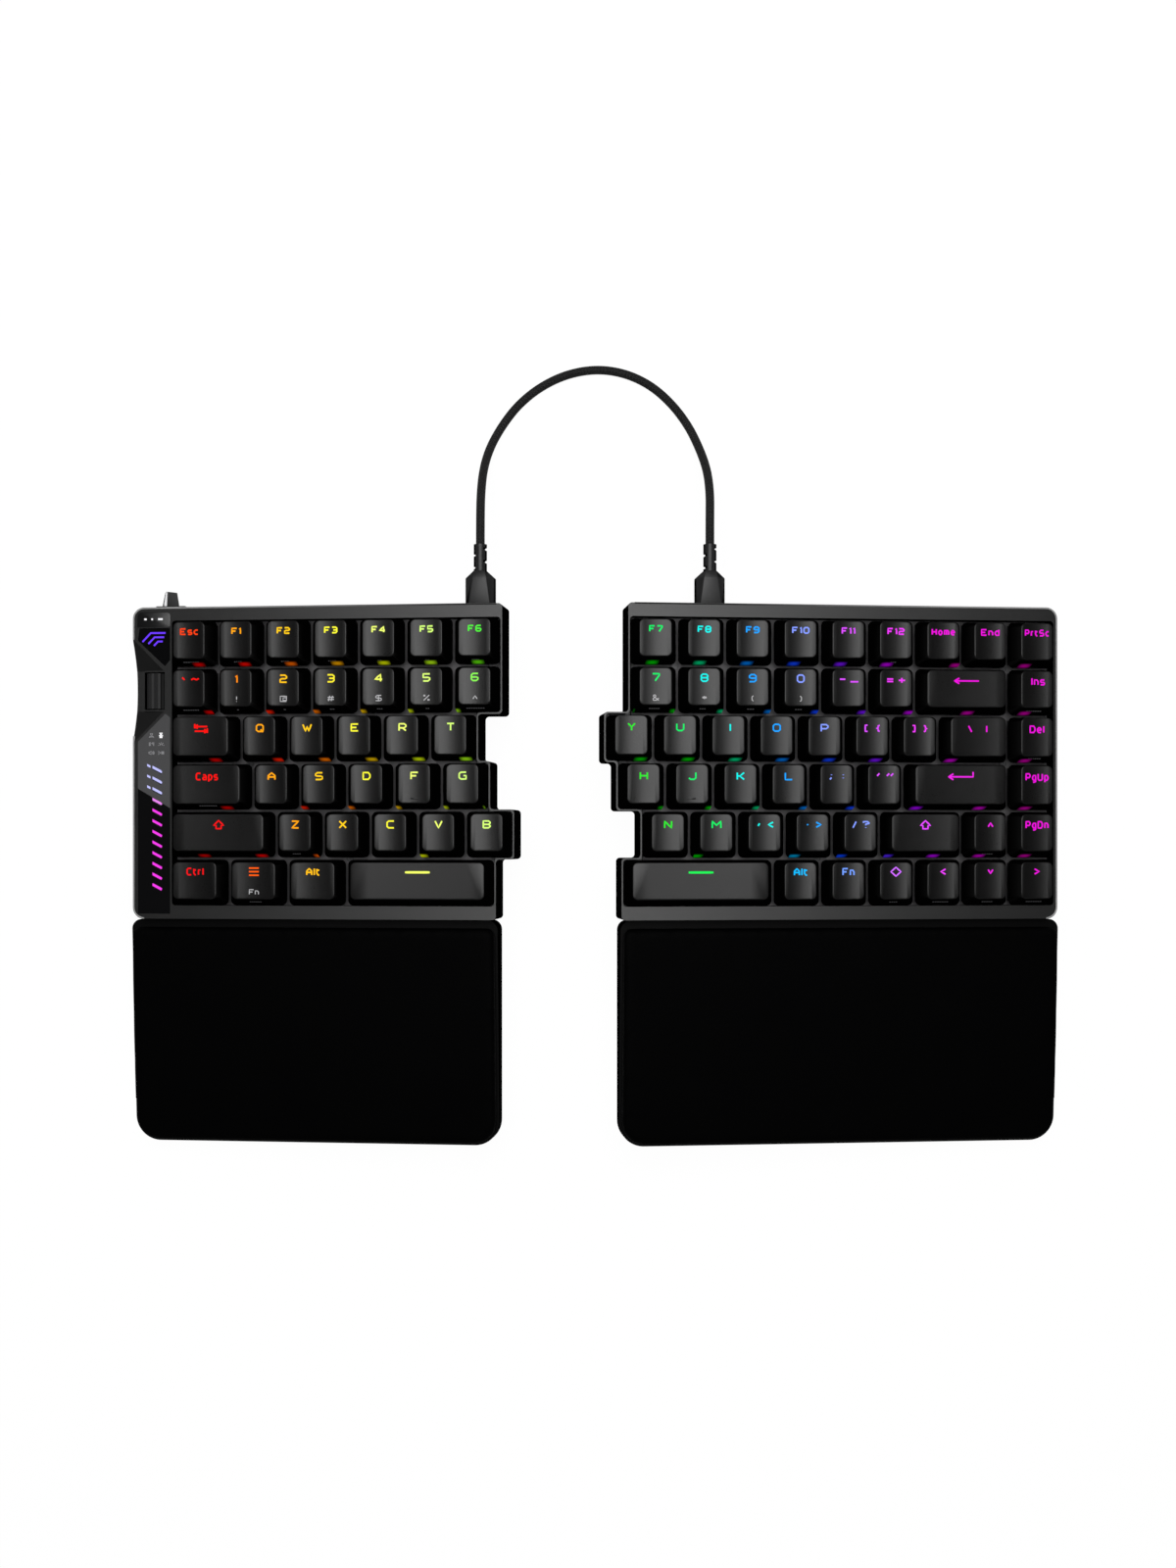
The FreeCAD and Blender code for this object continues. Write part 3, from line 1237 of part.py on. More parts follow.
# The link cable: straight runs joined by arcs, from one strain relief down to the desk behind
# the keyboard and up to the other. Points between its two straight starts, as (x, y, z).
ROUTE = [
    (-45.7, 150.6, 20.2),
    (-45.1, 161.4, 13.4),
    (-42.8, 171.4, 6.9),
    (-38.2, 180.8, 3.0),
    (-31.8, 189.6, 1.8),
    (-22.9, 197.0, 1.8),
    (-11.9, 202.4, 1.8),
    (0.3, 204.6, 1.8),
    (12.0, 203.0, 1.8),
    (22.8, 198.0, 1.8),
    (31.6, 190.2, 1.8),
    (38.2, 181.0, 3.0),
    (42.4, 171.2, 6.9),
    (45.2, 161.2, 13.4),
    (46.0, 150.6, 20.2),
]
BEND_SHARE = 0.45


def link_cable():
    exits = [cable_exit(half) for half in HALVES]
    leads = [point + vec(0, val("cable_lead"), 0) for point in exits]
    points = [exits[0], leads[0]] + [vec(*p) for p in ROUTE] + [leads[1], exits[1]]
    radius = val("cable_diameter") / 2
    edges, radii, at = [], [], points[0]
    for before, corner, after in zip(points, points[1:], points[2:]):
        inward, outward = (before - corner), (after - corner)
        shorter = min(inward.Length, outward.Length)
        inward.normalize()
        outward.normalize()
        turn = math.pi - inward.getAngle(outward)
        trim = BEND_SHARE * shorter
        bend = trim / math.tan(turn / 2)
        radii.append(bend)
        first, last = corner + inward * trim, corner + outward * trim
        bisector = (inward + outward).normalize()
        through = corner + bisector * (bend / math.cos(turn / 2) - bend)
        edges.append(Part.LineSegment(at, first).toShape())
        edges.append(Part.Arc(first, through, last).toShape())
        at = last
    edges.append(Part.LineSegment(at, points[-1]).toShape())
    path = Part.Wire(edges)
    start = (points[1] - points[0]).normalize()
    circle = Part.Wire([Part.makeCircle(radius, points[0], start)])
    tube = path.makePipeShell([circle], True, False)
    share = tube.Volume / (math.pi * radius**2 * path.Length)
    print(f"cable length {path.Length:.1f} mm, volume over section times length {share:.4f}")
    print("cable bend radii", [round(r, 1) for r in radii], "lowest", round(tube.BoundBox.ZMin, 3))
    print("runs", [round((b - a).Length, 1) for a, b in zip(points, points[1:])])
    obj = doc.addObject("Part::Feature", "link_cable")
    obj.Label = "link_cable"
    obj.Shape = tube
    obj.Placement = FreeCAD.Placement()
    NODES.append(obj)


def build():
    emblem = inlay("emblem_window_inlay", EMBLEM_CORNERS)
    status = inlay("status_panel_inlay", STATUS_CORNERS)
    bars = light_bars()
    node("emblem_window", left, [emblem])
    node("status_panel", left, [cut("status_panel_raw", status, bars)])
    node("light_bars", left, bars)
    for half in HALVES:
        desk = desk_block(half)
        bottom_case(half)
        top_frame(half, [emblem, status])
        switch_plate(half)
        circuit_board(half)
        switch_housings(half)
        stabilisers(half)
        screws(half)
        rubber_feet(half, desk)
        usb_sockets(half)
        link_plug(half)
        key_rows(half)
        for name, reach, row in case_legs(half):
            tent_leg(half, name, reach, row, "dim.leg_width", desk)
        wrist_rest(half, desk)
    roller = volume_roller()
    mode_lever()
    battery()
    link_cable()
    doc.recompute()
    print("roller axis point", left.placement.multVec(roller))
    for half in HALVES:
        for name, reach, row in case_legs(half) + [
            ("rest_leg", f"({half.inner_edge(0)} - dim.rest_narrowing - dim.leg_inset)",
             "(0 - dim.rest_gap - dim.rest_depth / 2)")
        ]:
            pivot = vec(val(half.x(reach)), val(row), val("pivot_rise"))
            print(half.name, name, "hinge", half.placement.multVec(pivot))
        print(half.name, "press direction", half.placement.Rotation.multVec(vec(0, 0, -1)))
        print(half.name, "cable exit", cable_exit(half))


def export():
    os.makedirs("parts", exist_ok=True)
    for obj in doc.Objects:
        if "Invalid" in obj.State or "Error" in obj.State:
            raise RuntimeError(f"{obj.Name} did not build: {obj.State}")
    whole = FreeCAD.BoundBox()
    for obj in NODES:
        if obj.Shape.isNull() or not obj.Shape.isValid() or not obj.Shape.Solids:
            raise RuntimeError(f"{obj.Label} has no valid shape")
        obj.Shape.exportStep(f"parts/{obj.Label}.step")
        if not any(word in obj.Label for word in ("cable", "plug", "relief")):
            whole.add(obj.Shape.BoundBox)
    print(len(NODES), "nodes, box without the cable", whole)


build()
export()
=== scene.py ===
import bpy
import bmesh
import math
from mathutils import Matrix, Vector


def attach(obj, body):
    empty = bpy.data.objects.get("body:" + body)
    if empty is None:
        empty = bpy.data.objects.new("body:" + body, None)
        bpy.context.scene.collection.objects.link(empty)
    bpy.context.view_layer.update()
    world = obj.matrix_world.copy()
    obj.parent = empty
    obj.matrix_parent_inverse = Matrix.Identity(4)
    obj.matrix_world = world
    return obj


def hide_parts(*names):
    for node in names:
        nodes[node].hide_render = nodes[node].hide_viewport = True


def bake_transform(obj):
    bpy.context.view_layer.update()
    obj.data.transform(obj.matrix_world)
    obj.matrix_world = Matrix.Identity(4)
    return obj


# A tented split keyboard seen from above. Sizes are in millimetres where a dictionary gives
# them and become metres on the way into a mesh.
mm = 0.001
# How near to a place, in millimetres, a corner counts as lying at it
near = 0.1
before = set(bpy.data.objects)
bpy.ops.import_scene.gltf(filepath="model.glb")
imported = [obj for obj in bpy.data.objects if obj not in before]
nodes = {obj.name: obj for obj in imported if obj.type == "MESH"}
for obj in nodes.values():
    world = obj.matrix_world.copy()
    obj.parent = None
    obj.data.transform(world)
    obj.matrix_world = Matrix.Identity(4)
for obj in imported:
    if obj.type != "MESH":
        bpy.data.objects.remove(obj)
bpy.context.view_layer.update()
print("frame loaded:", len(nodes), "nodes")

halves = {
    "left": {"sense": 1, "margin": 15.7, "squeeze": 0.04},
    "right": {"sense": -1, "margin": 1.25, "squeeze": 0.12},
}
tent = {"angle": 6.2, "reach": 182.98, "front": -19.7, "clearance": 1.2}
caseTop = 18.5
for half in halves.values():
    corner = Vector((-half["sense"] * tent["reach"], tent["front"], tent["clearance"]))
    base = Matrix.Translation(corner)
    half["matrix"] = base @ Matrix.Rotation(math.radians(-half["sense"] * tent["angle"]), 4, "Y")


# Shader sockets that add their own Math nodes when they meet an operator
class Wire:
    def __init__(self, finish, socket):
        self.finish, self.socket = finish, socket

    def __add__(self, other):
        return self.finish.maths("ADD", self, other)

    def __radd__(self, other):
        return self.finish.maths("ADD", other, self)

    def __sub__(self, other):
        return self.finish.maths("SUBTRACT", self, other)

    def __rsub__(self, other):
        return self.finish.maths("SUBTRACT", other, self)

    def __mul__(self, other):
        return self.finish.maths("MULTIPLY", self, other)

    def __rmul__(self, other):
        return self.finish.maths("MULTIPLY", other, self)


# A node tree that every shader node is added to through one method
class Tree:
    def __init__(self, tree):
        self.tree = tree

    def put(self, node, socket, value):
        target = node.inputs[socket]
        if isinstance(value, Wire):
            self.tree.links.new(value.socket, target)
        elif target.type == "RGBA" and len(value) == 3:
            target.default_value = (*value, 1)
        else:
            target.default_value = value

    def add(self, kind, settings=None, inputs=None, output=0):
        node = self.tree.nodes.new(kind)
        for name, value in (settings or {}).items():
            setattr(node, name, value)
        for socket, value in (inputs or {}).items():
            self.put(node, socket, value)
        return Wire(self, node.outputs[output]) if len(node.outputs) else None

    def place(self):
        return self.add("ShaderNodeTexCoord", output="Object")

    def part(self, vector, axis):
        return self.add("ShaderNodeSeparateXYZ", None, {0: vector}, axis)

    def maths(self, operation, *values):
        return self.add("ShaderNodeMath", {"operation": operation}, dict(enumerate(values)))

    def noise(self, scale, detail=2.0, roughness=0.5):
        inputs = {"Vector": self.place(), "Scale": scale, "Detail": detail, "Roughness": roughness}
        return self.add("ShaderNodeTexNoise", None, inputs, "Fac")

    def mixed(self, amount, dark, light):
        return self.add("ShaderNodeMix", {"data_type": "RGBA"}, {0: amount, 6: dark, 7: light}, 2)

    def ramp(self, value, low, high, start=0.0, end=1.0, kind="LINEAR"):
        inputs = {0: value, 1: low, 2: high, 3: start, 4: end}
        return self.add("ShaderNodeMapRange", {"interpolation_type": kind}, inputs)


class Finish(Tree):
    def __init__(self, name, **constants):
        self.material = bpy.data.materials.new(name)
        self.material.use_nodes = True
        super().__init__(self.material.node_tree)
        self.shader = self.tree.nodes["Principled BSDF"]
        self.feed(**constants)

    def bump(self, height, strength, distance):
        inputs = {"Height": height, "Strength": strength, "Distance": distance * mm}
        self.put(self.shader, "Normal", self.add("ShaderNodeBump", None, inputs))

    def feed(self, **sockets):
        for socket, value in sockets.items():
            self.put(self.shader, socket.replace("_", " "), value)


def shade(tone, share):
    return [c * share for c in tone]


# Moulded plastic: fine spark-eroded grain, a trace of handling marks in the gloss. With walls, the faces
# that look sideways are rougher, and where they are seen edge on they lose their sheen and take a darker,
# matt copy of the tone: painted shade.
mould = {"cloud": 60, "dark": 0.85, "light": 1.2, "grainGloss": 0.12, "bump": 0.35, "depth": 0.03}
wallShade = {"share": 0.35, "roughness": 0.72, "turn": (0.6, 0.85), "faced": (0.2, 0.4)}


def mouldedPlastic(name, tone, roughness, grain, specular=0.5, marks=0.06, walls=False):
    finish = Finish(name, Specular_IOR_Level=specular)
    cloud = finish.noise(mould["cloud"], 3)
    fine = finish.noise(grain, 2, 0.6)
    if walls:
        upward = finish.part(finish.add("ShaderNodeNewGeometry", output="True Normal"), 2)
        roughness = finish.ramp(upward, *wallShade["turn"], wallShade["roughness"], roughness)
    finish.feed(Base_Color=finish.mixed(cloud, shade(tone, mould["dark"]), shade(tone, mould["light"])),
                Roughness=roughness + (cloud - 0.5) * marks + (fine - 0.5) * mould["grainGloss"])
    finish.bump(fine, mould["bump"], mould["depth"])
    if walls:
        turnedUp = finish.ramp(upward, *wallShade["turn"])
        facing = finish.add("ShaderNodeLayerWeight", output="Facing")
        faced = finish.ramp(facing, *wallShade["faced"], 1.0, 0.0)
        glossy = finish.maths("MAXIMUM", turnedUp, faced)
        # Painted shade: sideways faces seen edge on take this darker, matt copy of the tone
        shadedMatt = finish.add("ShaderNodeBsdfDiffuse", None, {"Color": shade(tone, wallShade["share"])})
        sheen = Wire(finish, finish.shader.outputs[0])
        both = finish.add("ShaderNodeMixShader", None, {0: glossy, 1: shadedMatt, 2: sheen})
        finish.put(finish.tree.nodes["Material Output"], "Surface", both)
    return finish.material


# Metal, bare or painted, with fine flakes in it
flake = {"scale": 4200, "dark": 0.8, "light": 1.15, "gloss": 0.15, "bump": 0.2, "depth": 0.02}


def paintedMetal(name, tone, roughness, metallic):
    finish = Finish(name)
    flakes = finish.noise(flake["scale"], 2, 0.7)
    finish.feed(Base_Color=finish.mixed(flakes, shade(tone, flake["dark"]), shade(tone, flake["light"])),
                Roughness=roughness + (flakes - 0.5) * flake["gloss"], Metallic=metallic)
    finish.bump(flakes, flake["bump"], flake["depth"])
    return finish.material


# Painted highlight along an edge: a light line standing in for the reflection on a rounded edge, brighter
# from the middle of the keyboard to its outer ends
def edgeHighlightFinish(name, dark, light, reach, roughness):
    finish = Finish(name, Roughness=roughness)
    outward = finish.maths("ABSOLUTE", finish.part(finish.place(), 0))
    finish.feed(Base_Color=finish.mixed(finish.ramp(outward, *reach), dark, light))
    return finish.material


finishes = {
    "case": mouldedPlastic("casePlastic", (0.0052, 0.0052, 0.0052), 0.34, 3400, 0.62, walls=True),
    "cap": mouldedPlastic("capPlastic", (0.0030, 0.0028, 0.0029), 0.30, 2600, 0.40, walls=True),
    "rest": mouldedPlastic("restPlastic", (0.0018, 0.0018, 0.0019), 0.5, 3400, 0.08, walls=True),
    "gloss": mouldedPlastic("glossPlastic", (0.0025, 0.0025, 0.003), 0.12, 900, 0.4, marks=0.03),
    "roller": mouldedPlastic("rollerRubber", (0.010, 0.010, 0.0105), 0.6, 2200, 0.4),
    "housing": mouldedPlastic("housingPlastic", (0.008, 0.008, 0.009), 0.45, 3000, 0.25),
    "board": mouldedPlastic("boardMask", (0.004, 0.012, 0.008), 0.3, 1500),
    "rubber": mouldedPlastic("footRubber", (0.010, 0.010, 0.010), 0.75, 1800, 0.3),
    "leg": mouldedPlastic("legPlastic", (0.010, 0.010, 0.011), 0.5, 3000),
    "plug": mouldedPlastic("plugRubber", (0.008, 0.008, 0.0085), 0.42, 2400, 0.5, walls=True),
    # Painted highlight for the thin tubes along the cases' edges
    "edgeHighlight": edgeHighlightFinish("paintedEdgeHighlight", (0.015, 0.015, 0.015), (0.55, 0.55, 0.55), (0.055, 0.145), 0.4),
    "screw": paintedMetal("screwSteel", (0.07, 0.07, 0.072), 0.45, 0.7),
    "socket": paintedMetal("socketSteel", (0.55, 0.55, 0.57), 0.3, 1.0),
    "foil": paintedMetal("batteryFoil", (0.40, 0.40, 0.42), 0.4, 0.8),
    "plate": paintedMetal("plateMetal", (0.12, 0.116, 0.12), 0.5, 0.3),
}
print("finishes made:", len(finishes))

nodeFinishes = {
    "case": ("bottom_case", "top_frame", "mode_lever"),
    "rest": ("rest_base",),
    "roller": ("volume_roller",),
    "gloss": ("emblem_window",),
    "housing": ("switch_housings", "stabilisers", "roller_encoder", "mode_switch"),
    "board": ("circuit_board",),
    "rubber": ("rubber_feet", "rest_feet"),
    "leg": ("rear_leg", "front_leg", "rest_leg"),
    "plug": ("plug", "strain_relief"),
    "screw": ("plate_screws", "case_screws"),
    "socket": ("usb_sockets",),
    "foil": ("battery",),
    "plate": ("switch_plate",),
    "cap": ("keys", "space_bar"),
}


def dress(obj, *materials):
    obj.data.materials.clear()
    for material in materials:
        obj.data.materials.append(material)


for name, obj in nodes.items():
    for finish, endings in nodeFinishes.items():
        if name.endswith(endings):
            dress(obj, finishes[finish])


def newPiece(name, mesh, *materials, smooth=35):
    mesh.name = name
    obj = bpy.data.objects.new(name, mesh)
    bpy.context.scene.collection.objects.link(obj)
    for material in materials:
        mesh.materials.append(material)
    mesh.shade_smooth()
    mesh.set_sharp_from_angle(angle=math.radians(smooth))
    return obj


def toMesh(bm):
    mesh = bpy.data.meshes.new("mesh")
    bm.to_mesh(mesh)
    bm.free()
    return mesh


# The mesh of an object with its modifiers or its curve's thickness. The object itself goes.
def meshOf(obj):
    bpy.context.scene.collection.objects.link(obj)
    mesh = bpy.data.meshes.new_from_object(obj.evaluated_get(bpy.context.evaluated_depsgraph_get()))
    bpy.data.objects.remove(obj)
    return mesh


def cubeAt(bm, place, size):
    matrix = Matrix.Translation(place) @ Matrix.Diagonal((*size, 1))
    return bmesh.ops.create_cube(bm, size=1, matrix=matrix)["verts"]


# A block between two places along each of x, y and z
def blockBetween(bm, *ends):
    cubeAt(bm, [(low + high) / 2 for low, high in ends], [high - low for low, high in ends])


def bisect(bm, place, across):
    everything = bm.verts[:] + bm.edges[:] + bm.faces[:]
    bmesh.ops.bisect_plane(bm, geom=everything, plane_co=place, plane_no=across)


def roundOff(bm, edges, offset, segments):
    bmesh.ops.bevel(bm, geom=edges, offset=offset, segments=segments, profile=0.5, affect="EDGES",
                    material=-1)


# From millimetres in the frame of one half to metres in the world
def toPlace(bm, side):
    placed = halves[side]["matrix"].copy()
    placed.translation = placed.translation * mm
    bmesh.ops.transform(bm, matrix=placed @ Matrix.Diagonal((mm, mm, mm, 1)), verts=bm.verts)


# The mesh at its place in the world, all its faces turned outwards
def placedMesh(bm, side):
    bmesh.ops.recalc_face_normals(bm, faces=bm.faces)
    toPlace(bm, side)
    return toMesh(bm)


# Key rows from the front, each from the outer edge: (legend, width in key units), and for the
# space bars the place where they start
layout = {
    "left": {
        "bottom_row": [("Ctrl", 1.25), ("bars", 1.25), ("Alt", 1.25)],
        "shift_row": [("shift", 2.25), ("Z", 1), ("X", 1), ("C", 1), ("V", 1), ("B", 1)],
        "home_row": [("Caps", 1.75), ("A", 1), ("S", 1), ("D", 1), ("F", 1), ("G", 1)],
        "upper_row": [("tab", 1.5), ("Q", 1), ("W", 1), ("E", 1), ("R", 1), ("T", 1)],
        "number_row": [("` ~", 1), ("1", 1), ("2", 1), ("3", 1), ("4", 1), ("5", 1), ("6", 1)],
        "function_row": [("Esc", 1), ("F1", 1), ("F2", 1), ("F3", 1), ("F4", 1), ("F5", 1), ("F6", 1)],
        "space": [("space", 3.12, 3.75)],
    },
    "right": {
        "bottom_row": [(">", 1), ("v", 1), ("<", 1), ("diamond", 1), ("Fn", 1), ("Alt", 1)],
        "shift_row": [("PgDn", 1), ("^", 1), ("shift", 1.75), ("/ ?", 1), (". >", 1), (", <", 1),
                      ("M", 1), ("N", 1)],
        "home_row": [("PgUp", 1), ("enter", 2.25), ("' \"", 1), ("; :", 1), ("L", 1), ("K", 1),
                     ("J", 1), ("H", 1)],
        "upper_row": [("Del", 1), ("\\ |", 1.5), ("] }", 1), ("[ {", 1), ("P", 1), ("O", 1),
                      ("I", 1), ("U", 1), ("Y", 1)],
        "number_row": [("Ins", 1), ("backspace", 2), ("= +", 1), ("- _", 1), ("0", 1), ("9", 1),
                       ("8", 1), ("7", 1)],
        "function_row": [("PrtSc", 1), ("End", 1), ("Home", 1), ("F12", 1), ("F11", 1), ("F10", 1),
                         ("F9", 1), ("F8", 1), ("F7", 1)],
        "space": [("space", 3.14, 6)],
    },
}
rowNames = ["bottom_row", "shift_row", "home_row", "upper_row", "number_row", "function_row"]
key = {"pitch": 19.05, "gap": 0.95, "lip": 5.05, "skirt": 17.45, "height": 8.25, "taper": 5.5,
       "lean": 0.85, "topDepth": 14.5, "homeTopDepth": 15.3, "corner": 2.0, "rim": 0.35, "dish": 0.5,
       "wall": 1.3, "roof": 1.6, "stem": 5.6, "stemBottom": 13.4, "edge": 0.14, "cuts": 4,
       "homing": {"place": -4.9, "size": (2.9, 0.5, 0.5), "edge": 0.12}}


# Every key as a dictionary with its middle in the frame of its half
def allKeys():
    found = []
    for side, rows in layout.items():
        for rowName, entries in rows.items():
            row = 0 if rowName == "space" else rowNames.index(rowName)
            start = 0
            for entry in entries:
                legend, width = entry[:2]
                start = entry[2] if len(entry) > 2 else start
                middle = halves[side]["margin"] + (start + width / 2) * key["pitch"]
                deep = key["lip"] + (row + 0.5) * key["pitch"] - halves[side]["squeeze"] * row
                found.append({"side": side, "rowName": rowName, "row": row, "legend": legend,
                              "width": width, "x": halves[side]["sense"] * middle, "y": deep,
                              "topDepth": key["homeTopDepth" if row in (2, 3) else "topDepth"]})
                start += width
    return found


keys = allKeys()


def topWidth(width):
    return width * key["pitch"] - key["gap"] - key["taper"]


# How far the hollow across a cap's top lies below its rim
def dishDrop(x, width):
    return key["dish"] * max(0.0, 1 - (2 * x / topWidth(width)) ** 2)


# A cap: a block drawn in to its top, corners and rim rounded, the top hollowed across. The
# two resting keys have a short bar for the fingertip.
def makeCap(width, topDepth, resting):
    bm = bmesh.new()
    bmesh.ops.create_cube(bm, size=1)
    w, d, h = width * key["pitch"] - key["gap"], key["pitch"] - key["gap"], key["height"]
    bmesh.ops.scale(bm, vec=(w, d, h), verts=bm.verts)
    bmesh.ops.translate(bm, vec=(0, 0, h / 2), verts=bm.verts)
    top = [v for v in bm.verts if v.co.z > h / 2]
    bmesh.ops.scale(bm, vec=(topWidth(width) / w, topDepth / d, 1), verts=top)
    bmesh.ops.translate(bm, vec=(0, key["lean"], 0), verts=top)
    upright = [e for e in bm.edges if abs(e.verts[0].co.z - e.verts[1].co.z) > h / 2]
    roundOff(bm, upright, key["corner"], 5)
    rim = [e for e in bm.edges if all(v.co.z > h - near for v in e.verts)]
    roundOff(bm, rim, key["rim"], 3)
    side = topWidth(width) / 2 - key["rim"] - key["edge"]
    end = topDepth / 2 - key["rim"] - key["edge"]
    for i in range(-key["cuts"], key["cuts"] + 1):
        bisect(bm, (i / key["cuts"] * side, 0, 0), (1, 0, 0))
    for sign in (-1, 1):
        bisect(bm, (0, key["lean"] + sign * end, 0), (0, 1, 0))
    for v in bm.verts:
        if v.co.z > h - key["rim"] - near / 2:
            v.co.z -= dishDrop(v.co.x, width)
    under = [f for f in bm.faces if f.calc_center_median().z < near]
    bmesh.ops.inset_region(bm, faces=under, thickness=key["wall"])
    inner = list({v for f in under for v in f.verts})
    bmesh.ops.translate(bm, vec=(0, key["lean"] / 2, h - key["roof"]), verts=inner)
    bmesh.ops.scale(bm, vec=(1 - key["taper"] / w, 1 - key["taper"] / d / 2, 1), verts=inner)
    rise = key["height"] - key["roof"] - (key["stemBottom"] - key["skirt"])
    foot = Matrix.Translation((0, 0, key["stemBottom"] - key["skirt"] + rise / 2))
    bmesh.ops.create_cone(bm, cap_ends=True, segments=12, radius1=key["stem"] / 2,
                          radius2=key["stem"] / 2, depth=rise, matrix=foot)
    if resting:
        bar = cubeAt(bm, (0, key["homing"]["place"], h - key["dish"]), key["homing"]["size"])
        edges = list({e for v in bar for e in v.link_edges})
        roundOff(bm, edges, key["homing"]["edge"], 2)
    bmesh.ops.recalc_face_normals(bm, faces=bm.faces)
    return toMesh(bm)


def toWorld(side, x, y, z):
    return halves[side]["matrix"] @ Vector((x, y, z))


capMeshes = {}
for side in halves:
    for rowName in layout[side]:
        bm = bmesh.new()
        for item in keys:
            if (item["side"], item["rowName"]) != (side, rowName):
                continue
            kind = (item["width"], item["topDepth"], item["legend"] in ("F", "J"))
            if kind not in capMeshes:
                capMeshes[kind] = makeCap(*kind)
            before = len(bm.verts)
            bm.from_mesh(capMeshes[kind])
            bm.verts.ensure_lookup_table()
            bmesh.ops.translate(bm, vec=(item["x"], item["y"], key["skirt"]), verts=bm.verts[before:])
        toPlace(bm, side)
        obj = newPiece(f"{side}_{rowName}_caps", toMesh(bm), finishes["cap"])
        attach(obj, f"{side}_{rowName}")
        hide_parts(f"{side}_space_bar" if rowName == "space" else f"{side}_{rowName}_keys")
print("caps made:", len(keys))

# The plugs of the link cable: a body with a sloping facet on top, a metal tongue, and a
# straight strain relief notched from both sides. Sizes lie in the frame of a half.
plug = {"x": 139.0, "z": 8.1, "start": 124.8, "shoulder": 135.5, "end": 138.4, "width": 11.6,
        "height": 6.4, "waist": 9.4, "facet": (8.6, 5.4, 4.6), "neck": 5.3, "edge": 0.25,
        "tongue": (8.2, 7.6, 2.4), "overlap": 0.2}
relief = {"length": 10.6, "radius": 2.62, "step": 0.25, "floor": 1.6, "half": 0.48, "slant": 0.3,
          "notches": [(-1, 1.25), (1, 3.6), (-1, 6.2), (1, 8.6)]}


def makePlug():
    bm = bmesh.new()
    middle, tall = plug["z"], plug["height"]
    length = plug["end"] - plug["start"]
    cubeAt(bm, (0, (plug["start"] + plug["end"]) / 2, middle), (plug["width"], length, tall))
    bisect(bm, (0, plug["shoulder"], 0), (0, 1, 0))
    bisect(bm, (0, 0, plug["waist"]), (0, 0, 1))
    for v in bm.verts:
        behind = (v.co.y > plug["start"] + near) + (v.co.y > plug["shoulder"] + near)
        if v.co.z > middle + tall / 2 - near:
            v.co.x *= plug["facet"][behind] / plug["width"]
        elif behind == 2:
            v.co.x *= plug["neck"] / plug["width"]
        if behind == 2:
            v.co.z = middle + (v.co.z - middle) * plug["neck"] / tall
    roundOff(bm, bm.edges, plug["edge"], 2)
    wide, long, thick = plug["tongue"]
    tongue = cubeAt(bm, (0, plug["start"] - long / 2 + plug["overlap"], middle), (wide, long, thick))
    for face in {f for v in tongue for f in v.link_faces}:
        face.material_index = 1
    return bm


def makeRelief():
    bm = bmesh.new()
    middle = Matrix.Translation((0, plug["end"] + relief["length"] / 2, plug["z"]))
    turned = middle @ Matrix.Rotation(math.pi / 2, 4, "X")
    bmesh.ops.create_cone(bm, cap_ends=True, segments=32, radius1=relief["radius"],
                          radius2=relief["radius"], depth=relief["length"], matrix=turned)
    for i in range(1, round(relief["length"] / relief["step"])):
        bisect(bm, (0, plug["end"] + i * relief["step"], 0), (0, 1, 0))
    for v in bm.verts:
        for sense, place in relief["notches"]:
            off = v.co.y - plug["end"] - place + relief["slant"] * (sense * v.co.x - relief["radius"])
            if abs(off) < relief["half"] and sense * v.co.x > relief["floor"]:
                v.co.x = sense * relief["floor"]
    return bm


for side, half in halves.items():
    for label, node, bm, slot in (("plugBody", "plug", makePlug(), "case_plastic"),
                                  ("plugRelief", "strain_relief", makeRelief(), "soft_rubber")):
        bmesh.ops.translate(bm, vec=(half["sense"] * plug["x"], 0, 0), verts=bm.verts)
        toPlace(bm, side)
        piece = newPiece(f"{side}_{label}", toMesh(bm), finishes["plug"], finishes["socket"], smooth=30)
        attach(piece, f"{side}_half")
        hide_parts(f"{side}_{node}")
print("plugs made")

# The link cable: its route's points, between the two strain reliefs
cable = {"diameter": 3.5, "sides": 20, "lead": 10.3, "exit": (45.668, 129.3, 24.265),
         "route": [(-45.7, 150.6, 20.2), (-45.1, 161.4, 13.4), (-42.8, 171.4, 6.9), (-38.2, 180.8, 3.0),
                   (-31.8, 189.6, 1.8), (-22.9, 197.0, 1.8), (-11.9, 202.4, 1.8), (0.3, 204.6, 1.8),
                   (12.0, 203.0, 1.8), (22.8, 198.0, 1.8), (31.6, 190.2, 1.8), (38.2, 181.0, 3.0),
                   (42.4, 171.2, 6.9), (45.2, 161.2, 13.4), (46.0, 150.6, 20.2)]}


def cableLine():
    ends = [(side * cable["exit"][0], *cable["exit"][1:]) for side in (-1, 1)]
    leads = [(x, y + cable["lead"], z) for x, y, z in ends]
    points = [ends[0], leads[0], *cable["route"], leads[1], ends[1]]
    data = bpy.data.curves.new("cableLine", "CURVE")
    data.dimensions = "3D"
    data.resolution_u = 8
    spline = data.splines.new("NURBS")
    spline.points.add(len(points) - 1)
    for point, place in zip(spline.points, points):
        point.co = (*[c * mm for c in place], 1)
    spline.order_u = 3
    spline.use_endpoint_u = True
    return [v.co.copy() for v in meshOf(bpy.data.objects.new("cableLine", data)).vertices]


